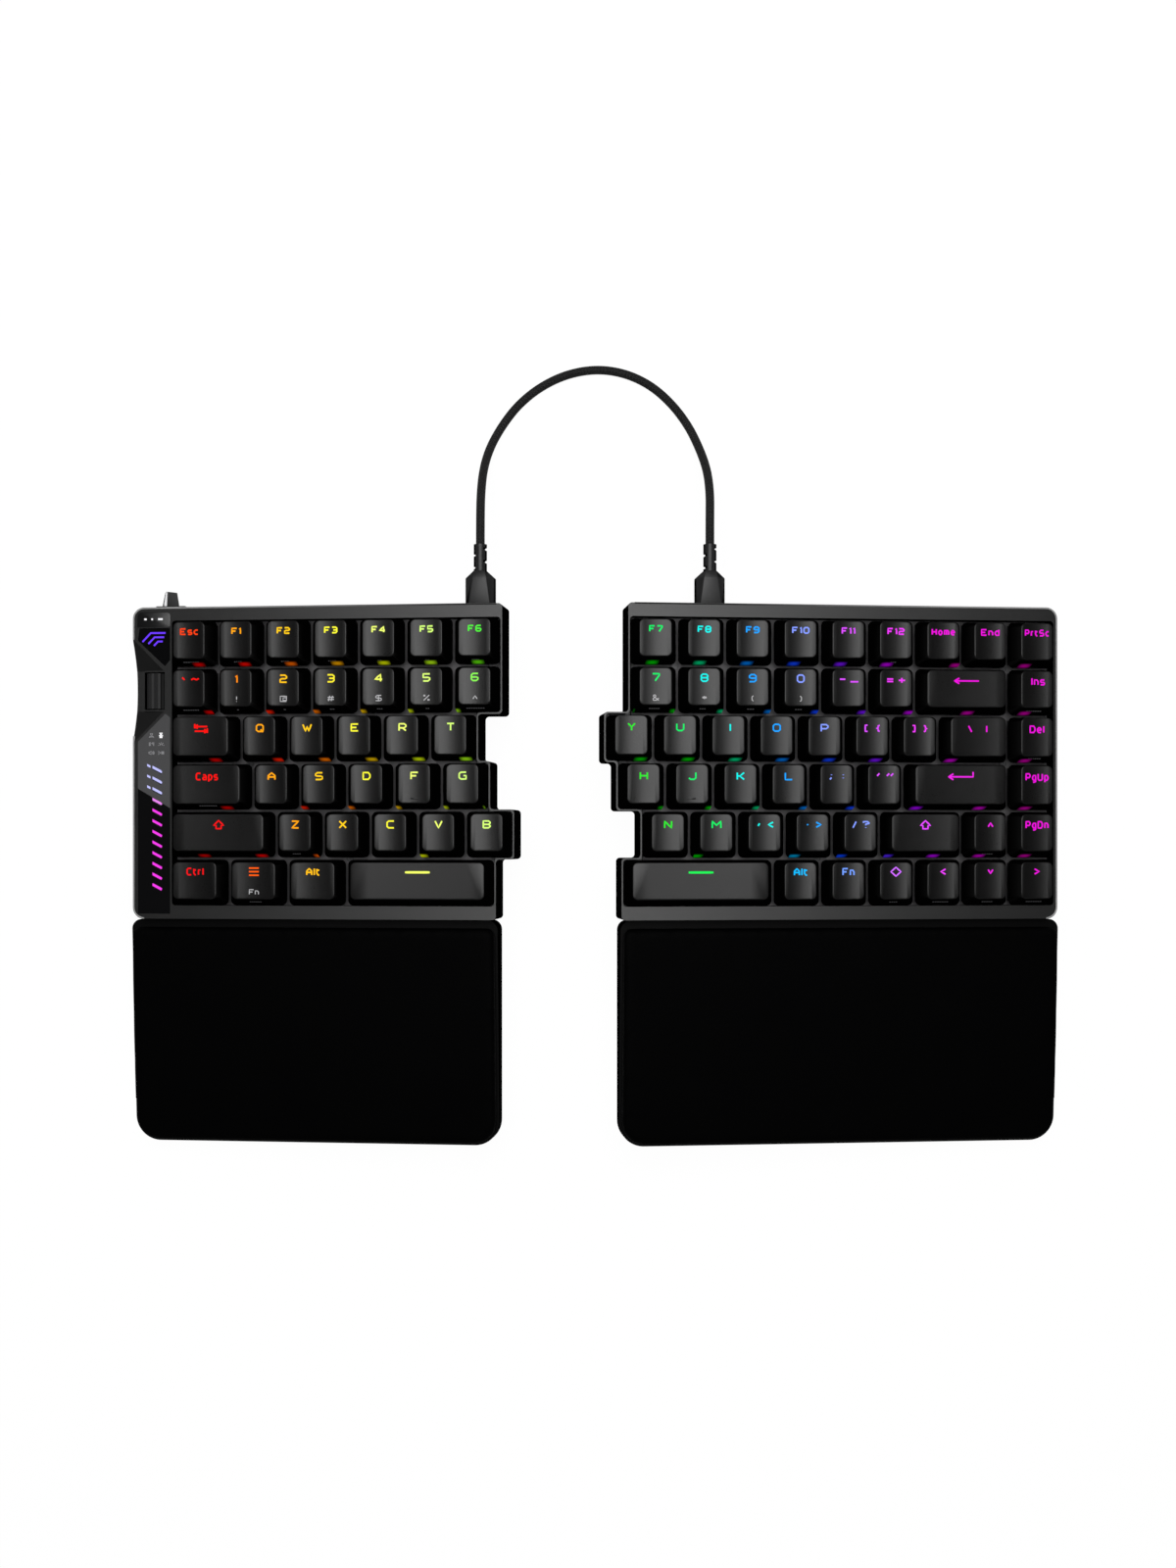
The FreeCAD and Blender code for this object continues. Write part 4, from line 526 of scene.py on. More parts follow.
# A tube along a line, with u round it and v along it in metres
def tubeAlong(line, radius, sides):
    bm = bmesh.new()
    uv = bm.loops.layers.uv.new("UVMap")
    rings, travelled = [], 0.0
    side = Vector((1, 0, 0))
    for i, point in enumerate(line):
        ahead = (line[min(i + 1, len(line) - 1)] - line[max(i - 1, 0)]).normalized()
        side = (side - ahead * side.dot(ahead)).normalized()
        turn = Matrix((side, ahead.cross(side), ahead)).transposed().to_4x4()
        matrix = Matrix.Translation(point) @ turn
        ring = bmesh.ops.create_circle(bm, segments=sides, radius=radius, matrix=matrix)
        travelled += (point - line[i - 1]).length if i else 0
        rings.append((ring["verts"], travelled))
    place = {v: (j, along) for ring, along in rings for j, v in enumerate(ring)}
    loops = [list({e for v in ring for e in v.link_edges}) for ring, _ in rings]
    for lower, upper in zip(loops, loops[1:]):
        bmesh.ops.bridge_loops(bm, edges=lower + upper)
    for face in bm.faces:
        wraps = {place[loop.vert][0] for loop in face.loops} == {0, sides - 1}
        for loop in face.loops:
            j, along = place[loop.vert]
            loop[uv].uv = (1.0 if wraps and j == 0 else j / sides, along)
    for ring in (loops[0], loops[-1]):
        bmesh.ops.contextual_create(bm, geom=ring)
    bmesh.ops.recalc_face_normals(bm, faces=bm.faces)
    return toMesh(bm)


# Tight plaited sleeve: two families of strands that cross, from the tube's own map. Its colour runs from
# dark in the hollows of the weave to light on the strands' crowns, painted shade, with a random fibre
# grain.
braid = {"around": 8, "along": 760, "strand": 1.6, "fibre": 0.3, "fibreScale": 5200,
         "dark": (0.0008, 0.0008, 0.0008), "light": (0.010, 0.010, 0.0103),
         "roughness": 0.6, "gloss": 0.3, "bump": 0.9, "depth": 0.25}


def braidFinish():
    finish = Finish("cableBraid", Specular_IOR_Level=0.3)
    uv = finish.add("ShaderNodeUVMap", {"uv_map": "UVMap"})
    around, along = finish.part(uv, 0) * braid["around"], finish.part(uv, 1) * braid["along"]
    right = finish.maths("PINGPONG", around + along, 0.5)
    wrong = finish.maths("PINGPONG", around - along, 0.5)
    weave = finish.maths("MAXIMUM", right, wrong)
    fibres = finish.noise(braid["fibreScale"], 2, 0.7)
    height = weave * braid["strand"] + fibres * braid["fibre"]
    # Painted shade: darker where the weave lies low
    finish.feed(Base_Color=finish.mixed(height, braid["dark"], braid["light"]),
                Roughness=braid["roughness"] - weave * braid["gloss"])
    finish.bump(height, braid["bump"], braid["depth"])
    return finish.material


line = cableLine()
sleeve = tubeAlong(line, cable["diameter"] / 2 * mm, cable["sides"])
linkCable = newPiece("linkCable", sleeve, braidFinish())
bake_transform(linkCable)
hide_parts("link_cable")

# Strokes of the legends: each point is x and y in hexadecimal, in eighths of a capital's
# width and tenths of its height, which stands on y = 3
strokes = {
    "A": "03 09 4d 89 83|07 87", "B": "03 0d 6d 8b 8a 68 08|68 86 85 63 03",
    "C": "8d 2d 0b 05 23 83", "D": "03 0d 6d 8a 86 63 03", "E": "8d 0d 03 83|08 68",
    "F": "8d 0d 03|08 68", "G": "8d 2d 0b 05 23 83 88 58", "H": "03 0d|83 8d|08 88", "I": "43 4d",
    "J": "8d 85 63 23 05", "K": "03 0d|8d 38 83|08 38", "L": "0d 03 83", "M": "03 0d 57 ad a3",
    "N": "03 0d 83 8d", "O": "23 05 0b 2d 6d 8b 85 63 23", "P": "03 0d 6d 8b 89 67 07",
    "Q": "23 05 0b 2d 6d 8b 85 63 23|56 82", "R": "03 0d 6d 8b 89 67 07|47 83",
    "S": "8d 2d 0b 09 28 68 87 84 63 03", "T": "0d 8d|4d 43", "U": "0d 05 23 63 85 8d",
    "V": "0d 43 8d", "W": "0d 33 5a 73 ad", "X": "03 8d|0d 83", "Y": "0d 48 8d|48 43",
    "Z": "0d 8d 03 83", "a": "09 49 67 63 13 04 05 16 66", "c": "69 29 07 05 23 63",
    "d": "69 29 07 05 23 63 6d", "e": "06 66 67 49 29 07 05 23 63",
    "g": "63 23 05 07 29 69 61 40 10", "l": "0d 03", "m": "03 09 79 87 83|49 43",
    "n": "03 09 49 67 63", "o": "23 05 07 29 49 67 65 43 23", "p": "00 09 49 67 65 43 03",
    "r": "03 09 49", "s": "69 19 08 07 16 56 65 64 53 03", "t": "0c 05 23 43|09 49",
    "0": "23 05 0b 2d 6d 8b 85 63 23", "1": "0b 2d 23", "2": "0d 6d 8b 89 68 28 07 03 83",
    "3": "0d 6d 8b 89 68 28|68 87 85 63 03", "4": "73 7d 06 96", "5": "8d 0d 08 68 87 85 63 03",
    "6": "8d 2d 0b 05 23 63 85 87 68 08", "7": "0d 8d 8b 33",
    "8": "23 05 07 28 68 87 85 63 23|28 09 0b 2d 6d 8b 89 68", "9": "88 28 09 0b 2d 6d 8b 85 63 03",
    "`": "0d 39", "~": "09 3b 79 ab", "-": "09 79", "_": "05 a5", "=": "06 86|0a 8a",
    "+": "08 88|44 4c", "[": "3d 0d 03 33", "]": "0d 3d 33 03", "{": "4d 2c 29 08 27 24 43",
    "}": "0d 2c 29 48 27 24 03", "\\": "0d 43", "|": "0d 03", ";": "2a 2b|26 03",
    ":": "25 26|2a 2b", "'": "3d 09", "\"": "3d 09|8d 59", "/": "03 4d",
    "?": "0b 0d 5d 7b 7a 39 37|33 34", ",": "2a 06", ".": "27 29", "<": "6c 08 64", ">": "0c 68 04",
    "^": "15 4b 75", "v": "1b 45 7b", "!": "1d 17|13 14", "@": "93 03 0d 9d 95 45 4a 9a",
    "#": "13 3d|53 7d|06 96|0a 9a", "$": "8d 2d 0b 09 28 68 87 84 63 03|42 4e",
    "%": "03 8d|0b 0d 2d 2b 0b|65 85 83 63 65", "&": "83 0b 1d 3d 4b 06 04 13 43 87",
    "*": "3c 36|0a 68|08 6a", "(": "2d 0b 05 23", ")": "0d 2b 25 03", "bars": "0c 8c|08 88|04 84",
    "diamond": "4d 88 43 08 4d", "shift": "23 27 07 4d 87 67 63 23", "space": "08 f8 f7 07 08",
    "enter": "08 f8 fd|3b 08 35", "backspace": "08 f8|3b 08 35",
    "tab": "0d 08|0a ca|3c 0a 38|c8 c3|05 c5|97 c5 93",
}
# Sizes of the legends, mostly (width, height), and how far they lie behind the cap's middle
legendStyle = {"stroke": 0.31, "letter": (2.7, 2.65), "digit": (2.6, 2.75), "arrow": (2.5, 2.5),
               "pair": (2.5, 2.4), "apart": 2.35, "slashApart": 3.35,
               "word": {2: 1.9, 3: 1.95, 4: 1.65, 5: 1.4}, "wordHeight": 2.5, "endHeight": 2.15,
               "gap": 1.05, "second": (2.2, 2.05), "secondStroke": 0.19,
               "secondWord": (1.7, 1.8, 0.7), "rise": 3.95, "frontRise": 4.4, "endRise": 4.25,
               "digitRise": 4.3, "secondRise": -3.6, "shift": 0.1, "small": (6, 7.5),
               "sheet": 0.02, "flatness": 0.1, "step": 1.1}
symbols = {"tab": (3.4, 3.6), "enter": (5.3, 3.9), "backspace": (5.3, 3.6), "space": (5.0, 3.0),
           "shift": (4.1, 3.2), "bars": (4.0, 3.5), "diamond": (4.0, 3.5)}
# Lit colours from the outer left key to the outer right one, at a place across in millimetres
rainbow = [(-176, (0.83, 0.007, 0.010)), (-164, (1.0, 0.008, 0.006)), (-160, (0.92, 0.05, 0.007)),
           (-151, (1.0, 0.13, 0.004)), (-139, (1.0, 0.42, 0.007)), (-120, (1.0, 0.62, 0.012)),
           (-101, (0.96, 0.96, 0.045)), (-82, (0.84, 1.0, 0.19)), (-63, (0.64, 1.0, 0.19)),
           (-44, (0.013, 0.79, 0.032)), (4, (0.03, 0.80, 0.03)), (22, (0.007, 0.83, 0.12)),
           (41, (0.007, 0.87, 0.79)), (60, (0.007, 0.35, 1.0)), (79, (0.22, 0.33, 1.0)),
           (98, (0.70, 0.08, 1.0)), (117, (0.83, 0.045, 0.91)), (136, (0.80, 0.007, 0.68)),
           (176, (0.79, 0.007, 0.66))]
# The colours of a row lean sideways: how far, from the rear row to the front one
rowShift = {"left": [0, -5, -9.5, -14, -24, -20], "right": [0, 0, -9.5, -14, -24, -24]}


def litColour(item, offset=0.0):
    across = toWorld(item["side"], item["x"] + offset, item["y"], key["skirt"]).x
    place = across + rowShift[item["side"]][5 - item["row"]]
    for (start, first), (end, second) in zip(rainbow, rainbow[1:]):
        if place <= end or end == rainbow[-1][0]:
            share = min(max((place - start) / (end - start), 0), 1)
            return [a + (b - a) * share for a, b in zip(first, second)]


# Small letters are drawn to one height and set taller, both in tenths of a capital's
def setHeight(glyph, y):
    drawn, tall = legendStyle["small"]
    if not glyph.isalpha() or glyph in ("v", *symbols) or not glyph.islower() or y <= 0:
        return y
    return y * tall / drawn if y <= drawn else tall + (y - drawn) * (10 - tall) / (10 - drawn)


# Paths of one legend, centred, from its glyphs set side by side
def setText(text, width, height, gap):
    paths, start = [], 0.0
    for glyph in text:
        drawn = [[(int(p[0], 16), setHeight(glyph, int(p[1], 16) - 3)) for p in path.split()]
                 for path in strokes[glyph].split("|")]
        scale = width / 8
        paths += [[(start + x * scale, (y / 10 - 0.5) * height) for x, y in path] for path in drawn]
        start += max(x for path in drawn for x, _ in path) * scale + gap
    middle = (start - gap) / 2
    return [[(x - middle, y) for x, y in path] for path in paths]


def moved(paths, x, y):
    return [[(px + x, py + y) for px, py in path] for path in paths]


# The main legend of a key and the grey one below it
def legendPaths(item):
    style, text = legendStyle, item["legend"]
    rise = style[{0: "frontRise", 5: "endRise"}.get(item["row"], "rise")]
    second = []
    if text in symbols:
        width, height = symbols[text]
        first = setText([text], width, height, 0)
        if text == "bars":
            second = setText("Fn", *style["secondWord"])
    elif " " in text:
        left, right = text.split(" ")
        apart = style["slashApart" if text.startswith("\\") else "apart"]
        first = moved(setText(left, *style["pair"], 0), -apart, 0)
        first += moved(setText(right, *style["pair"], 0), apart, 0)
    elif text.isdigit():
        first, rise = setText(text, *style["digit"], 0), style["digitRise"]
        sign = dict(zip("1234567890", "!@#$%^&*()"))[text]
        second = setText(sign, *style["second"], 0)
    elif len(text) > 1:
        size = len(text) - (len(text) > 2 and text[1:].isdigit())
        height = style["endHeight" if item["row"] == 5 else "wordHeight"]
        first = setText(text, style["word"][size], height, style["gap"])
    else:
        first = setText(text, *style["arrow" if text in "<>^v" else "letter"], 0)
    return moved(first, style["shift"], rise), moved(second, style["shift"], style["secondRise"])


def finely(path, step):
    points = [path[0]]
    for (ax, ay), (bx, by) in zip(path, path[1:]):
        count = max(1, math.ceil(math.hypot(bx - ax, by - ay) / step))
        points += [(ax + (bx - ax) * i / count, ay + (by - ay) * i / count) for i in range(1, count + 1)]
    return points


# Ribbons of a square section along paths, with mitred corners
def ribbons(paths, radius, step):
    data = bpy.data.curves.new("ribbons", "CURVE")
    data.dimensions = "3D"
    data.bevel_depth = radius
    data.bevel_resolution = 0
    data.use_fill_caps = True
    for path in paths:
        closed = path[0] == path[-1]
        points = finely(path, step)[:-1] if closed else finely(path, step)
        spline = data.splines.new("POLY")
        spline.points.add(len(points) - 1)
        for point, (x, y) in zip(spline.points, points):
            point.co = (x, y, 0, 1)
        spline.use_cyclic_u = closed
    return meshOf(bpy.data.objects.new("ribbons", data))


# Height of a cap's hollowed top at a place across its middle
def topHeight(item, x, y):
    return key["skirt"] + key["height"] - dishDrop(x, item["width"])


# Height of a cap's front skirt at a place in front of its middle
def skirtHeight(item, x, y):
    foot, head = (key["pitch"] - key["gap"]) / 2, item["topDepth"] / 2 - key["lean"]
    return key["skirt"] + key["height"] * (foot + y) / (foot - head)


# A mesh in the making whose corners carry their lit colour
def litMesh():
    bm = bmesh.new()
    return bm, bm.verts.layers.float_color.new("glow")


# The corners that a mesh adds to the one being made
def addMesh(bm, mesh):
    before = len(bm.verts)
    bm.from_mesh(mesh)
    bpy.data.meshes.remove(mesh)
    bm.verts.ensure_lookup_table()
    return bm.verts[before:]


# Flattened ribbons laid on a cap, in one lit colour
def lay(bm, glow, mesh, item, height, colour):
    for v in addMesh(bm, mesh):
        lift = legendStyle["sheet"] + v.co.z * legendStyle["flatness"]
        v.co.z = height(item, v.co.x, v.co.y) + lift
        v.co.x += item["x"]
        v.co.y += item["y"]
        v[glow] = (*colour, 1)


# Painted light: a glowing patch on the front skirt of a cap, standing in for the light that leaks past
# its foot from the key in front of it
spill = {"reach": 2.7, "depth": 1.5, "place": -8.35, "level": 0.38, "hue": -7, "drift": -0.3,
         "lean": -0.0166, "edge": 1.4, "least": 0.8, "fall": 1.3, "deepen": 2.5}


def laySpill(bm, glow, north, south):
    world = toWorld(south["side"], south["x"], 0, 0).x
    middle = south["x"] + spill["drift"] + spill["lean"] * world
    half = north["width"] * key["pitch"] / 2 - spill["edge"]
    low = max(middle - spill["reach"], north["x"] - half)
    high = min(middle + spill["reach"], north["x"] + half)
    if high - low < spill["least"]:
        return
    before = len(bm.verts)
    bmesh.ops.create_grid(bm, x_segments=8, y_segments=4, size=0.5)
    bm.verts.ensure_lookup_table()
    colour = litColour(south, spill["hue"])
    # Painted light: the patch's glow fades away from the middle of the key in front
    for v in bm.verts[before:]:
        x, up = low + (v.co.x + 0.5) * (high - low), v.co.y
        share = max(0, 1 - ((x - middle) / spill["reach"]) ** 2) ** spill["fall"] * (1 - (2 * up) ** 2)
        y = north["y"] + spill["place"] + up * spill["depth"]
        v[glow] = (*[c ** spill["deepen"] * spill["level"] * share for c in colour], 1)
        v.co = (x, y, skirtHeight(north, 0, y - north["y"]) + 2 * legendStyle["sheet"])


def legendFinish():
    finish = Finish("litLegend", Base_Color=(0, 0, 0), Roughness=0.8, Specular_IOR_Level=0.0,
                    Emission_Strength=1.12)
    colour = finish.add("ShaderNodeAttribute", {"attribute_name": "glow"}, output="Color")
    finish.feed(Emission_Color=colour)
    return finish.material


litLegend = legendFinish()
# Painted light: fixed greys that glow in the emissive legend finish, for the grey legends and the dashes
# on the front skirts
greyGlow = (0.42, 0.42, 0.43)
faintGlow = (0.05, 0.05, 0.052)
# Dashes on the front skirts: the length of each key's line of them, in millimetres
skirtMarks = {
    "left": {"Esc": 6.6, "F1": 3.4, "F2": 3.4, "F3": 3.4, "F4": 1.8, "F5": 1.8, "F6": 3.2,
             "` ~": 6.6, "1": 1, "2": 1.2, "3": 2, "4": 2.4, "5": 1.6, "6": 7.4, "Caps": 7.4,
             "Z": 3.4, "bars": 5},
    "right": {"7": 4.4, "8": 2.6, "9": 3, "0": 3, "F12": 2.4, "Ins": 6.4, "Del": 5.4, "^": 4.6,
              "diamond": 3.4, "<": 6.6, "v": 4.6, ">": 6.6},
}
dash = {"pitch": 0.9, "share": 0.7, "place": -7.6, "stroke": 0.14, "step": 2}


def dashes(length):
    count = max(1, round(length / dash["pitch"]))
    starts = [(i * length / count - length / 2, (i + dash["share"]) * length / count - length / 2)
              for i in range(count)]
    return [[(start, dash["place"]), (end, dash["place"])] for start, end in starts]


for side in halves:
    for rowName in layout[side]:
        bm, glow = litMesh()
        own = [item for item in keys if (item["side"], item["rowName"]) == (side, rowName)]
        for item in own:
            main, second = legendPaths(item)
            lit = ribbons(main, legendStyle["stroke"], legendStyle["step"])
            lay(bm, glow, lit, item, topHeight, litColour(item))
            if second:
                printed = ribbons(second, legendStyle["secondStroke"], legendStyle["step"])
                lay(bm, glow, printed, item, topHeight, greyGlow)
            length = skirtMarks[side].get(item["legend"])
            if length:
                marks = ribbons(dashes(length), dash["stroke"], dash["step"])
                lay(bm, glow, marks, item, skirtHeight, faintGlow)
        for north in own:
            for south in keys:
                if south["side"] == side and south["row"] == north["row"] - 1:
                    laySpill(bm, glow, north, south)
        obj = newPiece(f"{side}_{rowName}_legends", placedMesh(bm, side), litLegend)
        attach(obj, f"{side}_{rowName}")
print("legends made")

# A small plate behind the upper inlay, its two rear corners round
badge = {"x": (1.8, 15.4), "y": (116.5, 122.7), "bottom": 18.3, "thick": 0.25, "corner": 1.9,
         "edge": 0.12}
bm = bmesh.new()
badgeTop = caseTop + badge["thick"]
blockBetween(bm, badge["x"], badge["y"], (badge["bottom"], badgeTop))
rear = [e for e in bm.edges if all(v.co.y > badge["y"][1] - near for v in e.verts)
        and abs(e.verts[0].co.z - e.verts[1].co.z) > near]
roundOff(bm, rear, badge["corner"], 6)
upper = [e for e in bm.edges if all(v.co.z > badgeTop - near for v in e.verts)]
roundOff(bm, upper, badge["edge"], 2)
toPlace(bm, "left")
obj = newPiece("badgePlate", toMesh(bm),
               mouldedPlastic("badgePlastic", (0.006, 0.006, 0.0065), 0.3, 2600))
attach(obj, "left_half")

# Painted highlights along the outer and rear edges of the cases: thin light tubes standing in for the
# reflection on their rounded edges. Each run is from y to y along the outer edge. It rounds a corner
# where it ends at one, and the rear corner leads to the rear edge.
edgeHighlight = {"radius": 0.45, "z": 18.28, "inset": 0.3, "corner": 4.5, "depth": 124.4, "turns": 8, "step": 8,
         "runs": {"left": [(111.6, 124.4), (0, 73.0)], "right": [(0, 124.4)]},
         "rear": {"left": 147.0, "right": 170.5}}


def edgeHighlightPath(side, low, high):
    inset, corner, depth = edgeHighlight["inset"], edgeHighlight["corner"], edgeHighlight["depth"]
    reach = corner - inset
    turn = [math.pi / 2 * i / edgeHighlight["turns"] for i in range(edgeHighlight["turns"] + 1)]
    front = [(corner - reach * math.sin(a), corner - reach * math.cos(a)) for a in turn]
    points = front if low == 0 else [(inset, low)]
    if high == depth:
        points += [(x, depth - y) for x, y in reversed(front)] + [(edgeHighlight["rear"][side], depth - inset)]
    else:
        points += [(inset, high)]
    return [(halves[side]["sense"] * x, y) for x, y in points]


for side, runs in edgeHighlight["runs"].items():
    bm = bmesh.new()
    paths = [edgeHighlightPath(side, low, high) for low, high in runs]
    addMesh(bm, ribbons(paths, edgeHighlight["radius"], edgeHighlight["step"]))
    bmesh.ops.translate(bm, vec=(0, 0, edgeHighlight["z"]), verts=bm.verts)
    obj = newPiece(f"{side}_arris", placedMesh(bm, side), finishes["edgeHighlight"])
    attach(obj, f"{side}_half")

# The mode lever's knob: a ridge near its outer side, a narrow facet and a steep one beside it
knob = {"x": (10.75, 17.7), "y": (123.4, 130.9), "bottom": 13.0, "top": 17.0, "ridge": 12.2,
        "bend": 13.6, "tip": (12.2, 16.3), "drop": 0.5, "heights": (15.6, 17.6, 17.1, 13.6),
        "edge": 0.18, "highlightFrom": 11.9, "highlightTilt": 0.5, "stem": ((14.4, 122.8, 15.0), (4.2, 2.0, 3.0))}
bm = bmesh.new()
blockBetween(bm, knob["x"], knob["y"], (knob["bottom"], knob["top"]))
bisect(bm, (knob["ridge"], 0, 0), (1, 0, 0))
bisect(bm, (knob["bend"], 0, 0), (1, 0, 0))
slim = (knob["tip"][1] - knob["tip"][0]) / (knob["x"][1] - knob["x"][0])
for v in bm.verts:
    if v.co.z > knob["bottom"] + near:
        passed = sum(v.co.x > edge - near for edge in (knob["ridge"], knob["bend"], knob["x"][1]))
        v.co.z = knob["heights"][passed]
    if v.co.y > knob["y"][1] - near:
        v.co.x = knob["tip"][0] + (v.co.x - knob["x"][0]) * slim
        v.co.z -= knob["drop"]
roundOff(bm, bm.edges, knob["edge"], 2)
# Painted highlight: the narrow facet takes a light grey metal finish, standing in for the light's
# reflection on the dark knob
for face in bm.faces:
    middle = face.calc_center_median().x
    if face.normal.z > knob["highlightTilt"] and knob["highlightFrom"] < middle < knob["bend"]:
        face.material_index = 1
cubeAt(bm, *knob["stem"])
obj = newPiece("leverKnob", placedMesh(bm, "left"),
               mouldedPlastic("knobPlastic", (0.03, 0.03, 0.031), 0.3, 2600, 0.7),
               paintedMetal("knobPaintedHighlight", (0.62, 0.62, 0.63), 0.3, 0.2))
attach(obj, "lever")
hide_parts("mode_lever")

# The side deck: marks on the small plate and on the glossy inlays. Places are across from the
# outer edge and up from the front edge of the left half.
deck = {"lift": 0.03, "white": (0.9, 0.9, 0.92), "purple": (0.15, 0.045, 1.0),
        "icon": (0.23, 0.23, 0.24), "lavender": (0.50, 0.51, 0.92), "orchid": (0.75, 0.22, 0.80),
        "magenta": (0.87, 0.045, 0.79)}


# One mark drawn on a grid of tenths of a millimetre round its middle
def icon(x, y, drawn):
    paths = [[point.split(",") for point in path.split()] for path in drawn.split("|")]
    return [[(x + float(a) / 10, y + float(b) / 10) for a, b in path] for path in paths]


deckMarks = [
    ("white", 0.36, [[(4.7, 119.7), (5.7, 119.7)], [(7.6, 119.7), (8.3, 119.7)],
                     [(10.4, 119.7), (12.3, 119.7)]]),
    ("purple", 0.36, [[(3.9, 110.7), (7.3, 114.2), (13.4, 114.2)],
                      [(6.3, 109.9), (8.9, 112.5), (12.8, 112.5)],
                      [(8.6, 109.1), (10.3, 110.8), (12.2, 110.8)]]),
    ("icon", 0.16, icon(7.6, 73.2, "-5,8 5,8 3,2 -3,2 -5,8|-10,-7 -6,-3 6,-3 10,-7 -10,-7")
     + icon(7.6, 69.8, "-9,-7 -9,7|9,-7 9,7|-4,-7 -4,7 4,0 4,7")
     + icon(11.6, 69.8, "-5,-5 -3,1 3,1 5,-5|-12,-5 -9,-5|9,-5 12,-5|-9,4 -7,2|9,4 7,2|0,7 0,5")
     + icon(7.6, 66.3, "-11,3 -6,3 -1,7 -1,-7 -6,-3 -11,-3 -11,3|4,5 6,0 4,-5|8,7 11,0 8,-7")
     + icon(11.6, 66.3, "-11,7 -3,0 -11,-7 -11,7|2,6 2,-6|6,6 6,-6|10,6 10,-6")),
    ("white", 0.28, icon(11.5, 73.2, "-5,10 5,10 1,4 -1,4 -5,10|-8,-1 0,3 8,-1 -8,-1"
                         "|-4,-4 4,-4 4,-8 -4,-8 -4,-4")),
]
bm, glow = litMesh()
for tone, radius, paths in deckMarks:
    for v in addMesh(bm, ribbons(paths, radius, 2)):
        raised = badge["thick"] if v.co.y > badge["y"][0] else 0
        v.co.z = caseTop + deck["lift"] + raised + v.co.z * legendStyle["flatness"]
        v[glow] = (*deck[tone], 1)
obj = newPiece("deckMarks", placedMesh(bm, "left"), litLegend)
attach(obj, "left_half")

# Light guides: slanting bars in a column, with a short one beside each of the first three
guides = {"count": 12, "shortCount": 3, "pitch": 4.27, "slope": -0.52, "bottom": 17.4, "top": 18.62,
          "long": {"place": (9.8, 59.7), "size": (3.5, 1.05)},
          "short": {"place": (6.5, 61.1), "size": (1.3, 0.9)}}


def addGuide(bm, glow, kind, number, colour):
    (x, y), (width, thick) = guides[kind]["place"], guides[kind]["size"]
    height = guides["top"] - guides["bottom"]
    verts = cubeAt(bm, (0, 0, guides["bottom"] + height / 2), (width, thick, height))
    for v in verts:
        v.co.y += v.co.x * guides["slope"]
        v[glow] = (*colour, 1)
    bmesh.ops.translate(bm, vec=(x, y - number * guides["pitch"], 0), verts=verts)


bm, glow = litMesh()
tones = ["lavender"] * guides["shortCount"] + ["orchid"]
tones += ["magenta"] * (guides["count"] - len(tones))
for number, tone in enumerate(tones):
    addGuide(bm, glow, "long", number, deck[tone])
    if number < guides["shortCount"]:
        addGuide(bm, glow, "short", number, deck[tone])
obj = newPiece("lightGuides", placedMesh(bm, "left"), litLegend)
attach(obj, "left_half")
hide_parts("light_bars")


# The lower inlay: smoke grey behind a slanting edge, black in front of it
panel = {"slope": 0.597, "edge": (32.2, 32.5), "black": (0.003, 0.003, 0.0035),
         "smoke": (0.105, 0.105, 0.108)}


def panelFinish():
    finish = Finish("panelInlay", Roughness=0.14, Specular_IOR_Level=0.5)
    place = finish.place()
    x, y = (finish.part(place, axis) * (1 / mm) for axis in (0, 1))
    split = finish.ramp(y + (x + tent["reach"]) * panel["slope"], *panel["edge"])
    finish.feed(Base_Color=finish.mixed(split, panel["black"], panel["smoke"]))
    return finish.material


dress(nodes["status_panel"], panelFinish())
print("side deck made")

# The wrist rests' pads: the solid pads, softened at their edges
restPad = {"voxel": 1.3, "rounds": 6, "cloud": 45, "grain": 1500, "dark": (0.0006, 0.0006, 0.0007),
           "light": (0.0012, 0.0012, 0.0013), "roughness": 0.55, "grainGloss": 0.3, "bump": 0.5,
           "depth": 0.12}


def padFinish():
    finish = Finish("padSkin", Specular_IOR_Level=0.02)
    cloud = finish.noise(restPad["cloud"], 3)
    grain = finish.noise(restPad["grain"], 4, 0.6)
    finish.feed(Base_Color=finish.mixed(cloud, restPad["dark"], restPad["light"]),
                Roughness=restPad["roughness"] + (grain - 0.5) * restPad["grainGloss"])
    finish.bump(grain, restPad["bump"], restPad["depth"])
    return finish.material


padSkin = padFinish()


def softPad(node):
    bm = bmesh.new()
    bm.from_mesh(nodes[node].data)
    bmesh.ops.remove_doubles(bm, verts=bm.verts, dist=0.00001)
    bmesh.ops.recalc_face_normals(bm, faces=bm.faces)
    rough = bpy.data.objects.new("rough", toMesh(bm))
    remesh = rough.modifiers.new("remesh", "REMESH")
    remesh.mode = "VOXEL"
    remesh.voxel_size = restPad["voxel"] * mm
    smooth = rough.modifiers.new("smooth", "SMOOTH")
    smooth.iterations = restPad["rounds"]
    return meshOf(rough)


for side in halves:
    pad = newPiece(f"{side}_softPad", softPad(f"{side}_rest_pad"), padSkin, smooth=180)
    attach(pad, f"{side}_rest")
    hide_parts(f"{side}_rest_pad")
print("rest pads made")


# The studio: a pale floor, a pale wall all round, one wide soft light above. Places in metres.
studio = {"floor": 6.0, "lampHeight": 1.2, "lampWidth": 0.80, "lampDepth": 0.9, "lampFront": -0.12,
          "power": 10.2, "wall": 0.5, "ceiling": 0.04, "turn": (0.2, 0.55), "glossyShare": 0.22,
          "paper": 0.5, "shine": 1.08, "shineShare": 0.9}


# One for rays from the camera and through clear things, a share of one for mirror rays
def cleanRays(tree):
    camera, glossy, clear = (tree.add("ShaderNodeLightPath", output=f"Is {kind} Ray")
                             for kind in ("Camera", "Glossy", "Transmission"))
    return camera + glossy * studio["glossyShare"] + clear


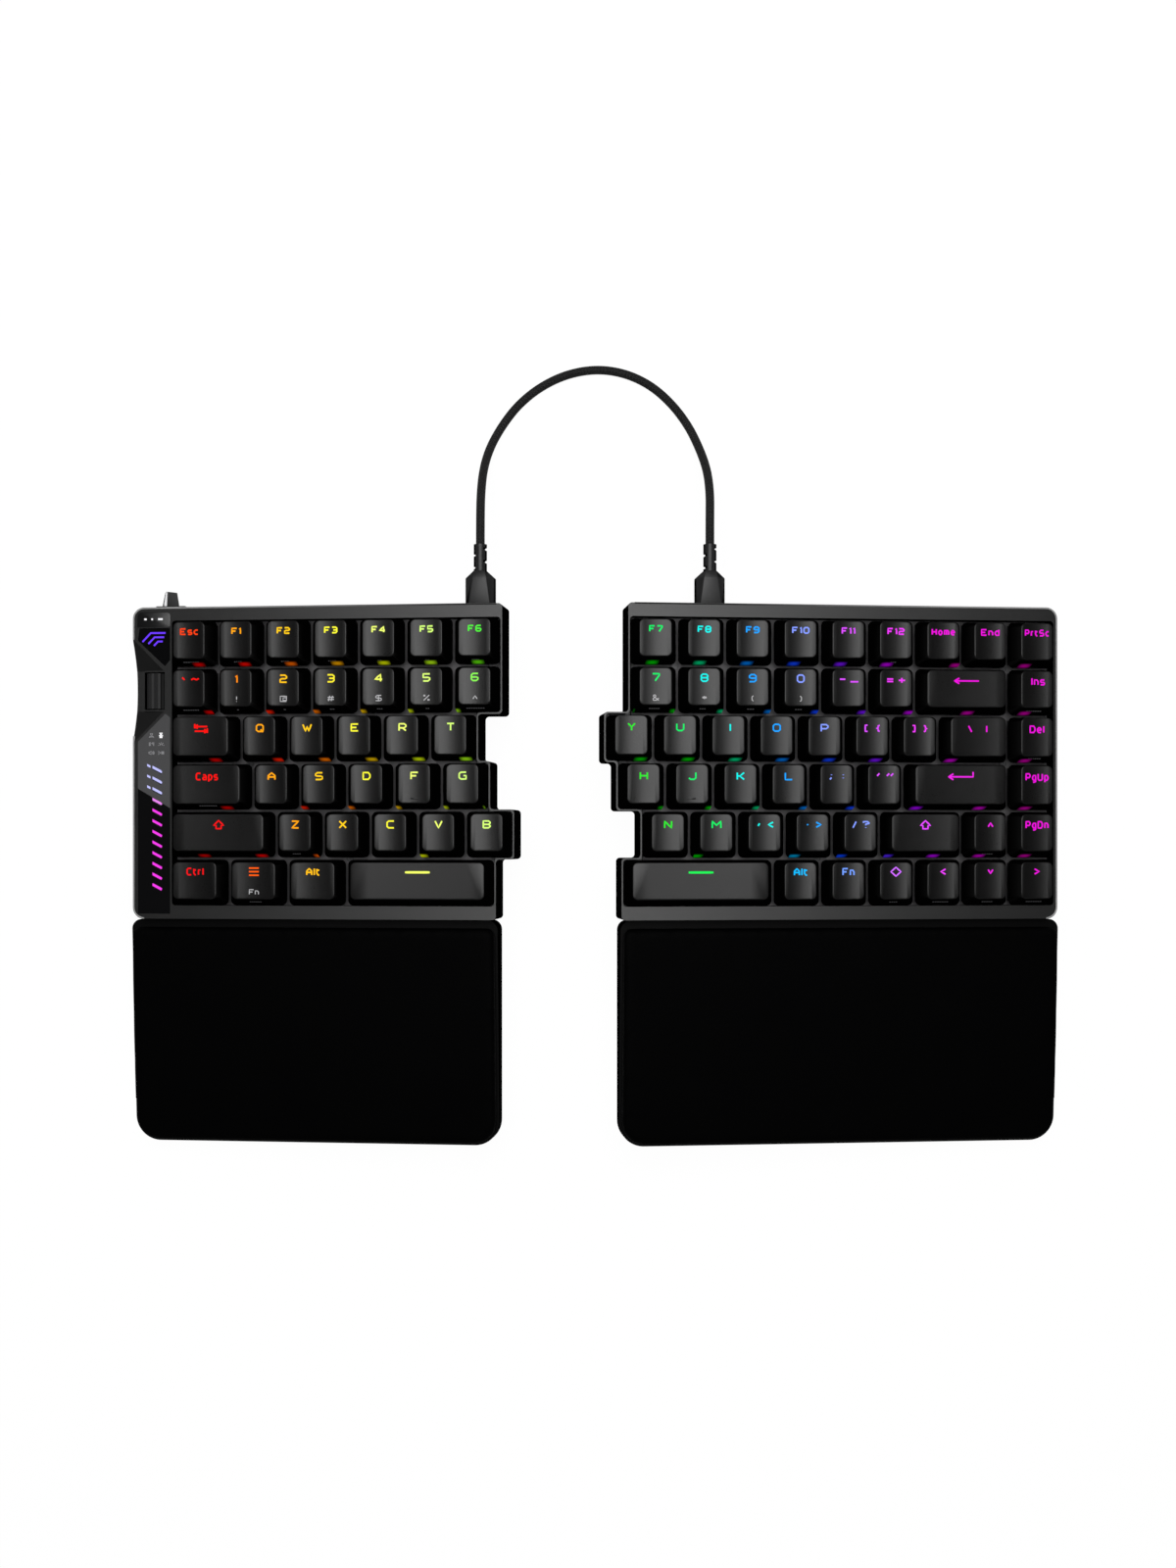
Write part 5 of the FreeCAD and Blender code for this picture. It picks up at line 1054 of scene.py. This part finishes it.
def paleFloor():
    material = bpy.data.materials.new("paleFloor")
    material.use_nodes = True
    material.node_tree.nodes.clear()
    tree = Tree(material.node_tree)
    paper = tree.add("ShaderNodeBsdfDiffuse", None, {"Color": [studio["paper"]] * 3})
    shine = tree.add("ShaderNodeEmission", None, {"Strength": studio["shine"]})
    share = cleanRays(tree) * studio["shineShare"]
    lit = tree.add("ShaderNodeMixShader", None, {0: share, 1: paper, 2: shine})
    tree.add("ShaderNodeOutputMaterial", None, {"Surface": lit})
    return material


bm = bmesh.new()
bmesh.ops.create_grid(bm, x_segments=1, y_segments=1, size=studio["floor"])
floor = bpy.data.objects.new("floor", toMesh(bm))
bpy.context.scene.collection.objects.link(floor)
dress(floor, paleFloor())

world = bpy.data.worlds.new("studio")
bpy.context.scene.world = world
world.use_nodes = True
air = Tree(world.node_tree)
upward = air.part(air.add("ShaderNodeTexCoord", output="Generated"), 2)
seen = air.add("ShaderNodeLightPath", output="Is Camera Ray")
dome = air.ramp(upward, *studio["turn"], studio["wall"], studio["ceiling"], "SMOOTHSTEP")
background = world.node_tree.nodes["Background"]
air.put(background, "Color", (1, 1, 1))
air.put(background, "Strength", seen + (1 - seen) * dome)

lamp = bpy.data.lights.new("softbox", "AREA")
lamp.shape = "RECTANGLE"
lamp.size, lamp.size_y = studio["lampWidth"], studio["lampDepth"]
lamp.energy = studio["power"]
softbox = bpy.data.objects.new("softbox", lamp)
bpy.context.scene.collection.objects.link(softbox)
softbox.location = (0, studio["lampFront"] + studio["lampDepth"] / 2, studio["lampHeight"])

# The camera looks straight down; its shifts are in pixels of the tall side of the picture
view = {"lens": 44.75, "sensor": 36, "place": (-0.88, 12.2, 800), "shift": (-5, 56), "tall": 1600,
        "nearest": 0.05}
camera = bpy.data.objects.new("camera", bpy.data.cameras.new("camera"))
bpy.context.scene.collection.objects.link(camera)
camera.data.lens, camera.data.sensor_width = view["lens"], view["sensor"]
camera.data.shift_x, camera.data.shift_y = (shift / view["tall"] for shift in view["shift"])
camera.data.clip_start = view["nearest"]
camera.location = [c * mm for c in view["place"]]
bpy.context.scene.camera = camera
bpy.context.scene.view_settings.view_transform = "Standard"
print("studio made")
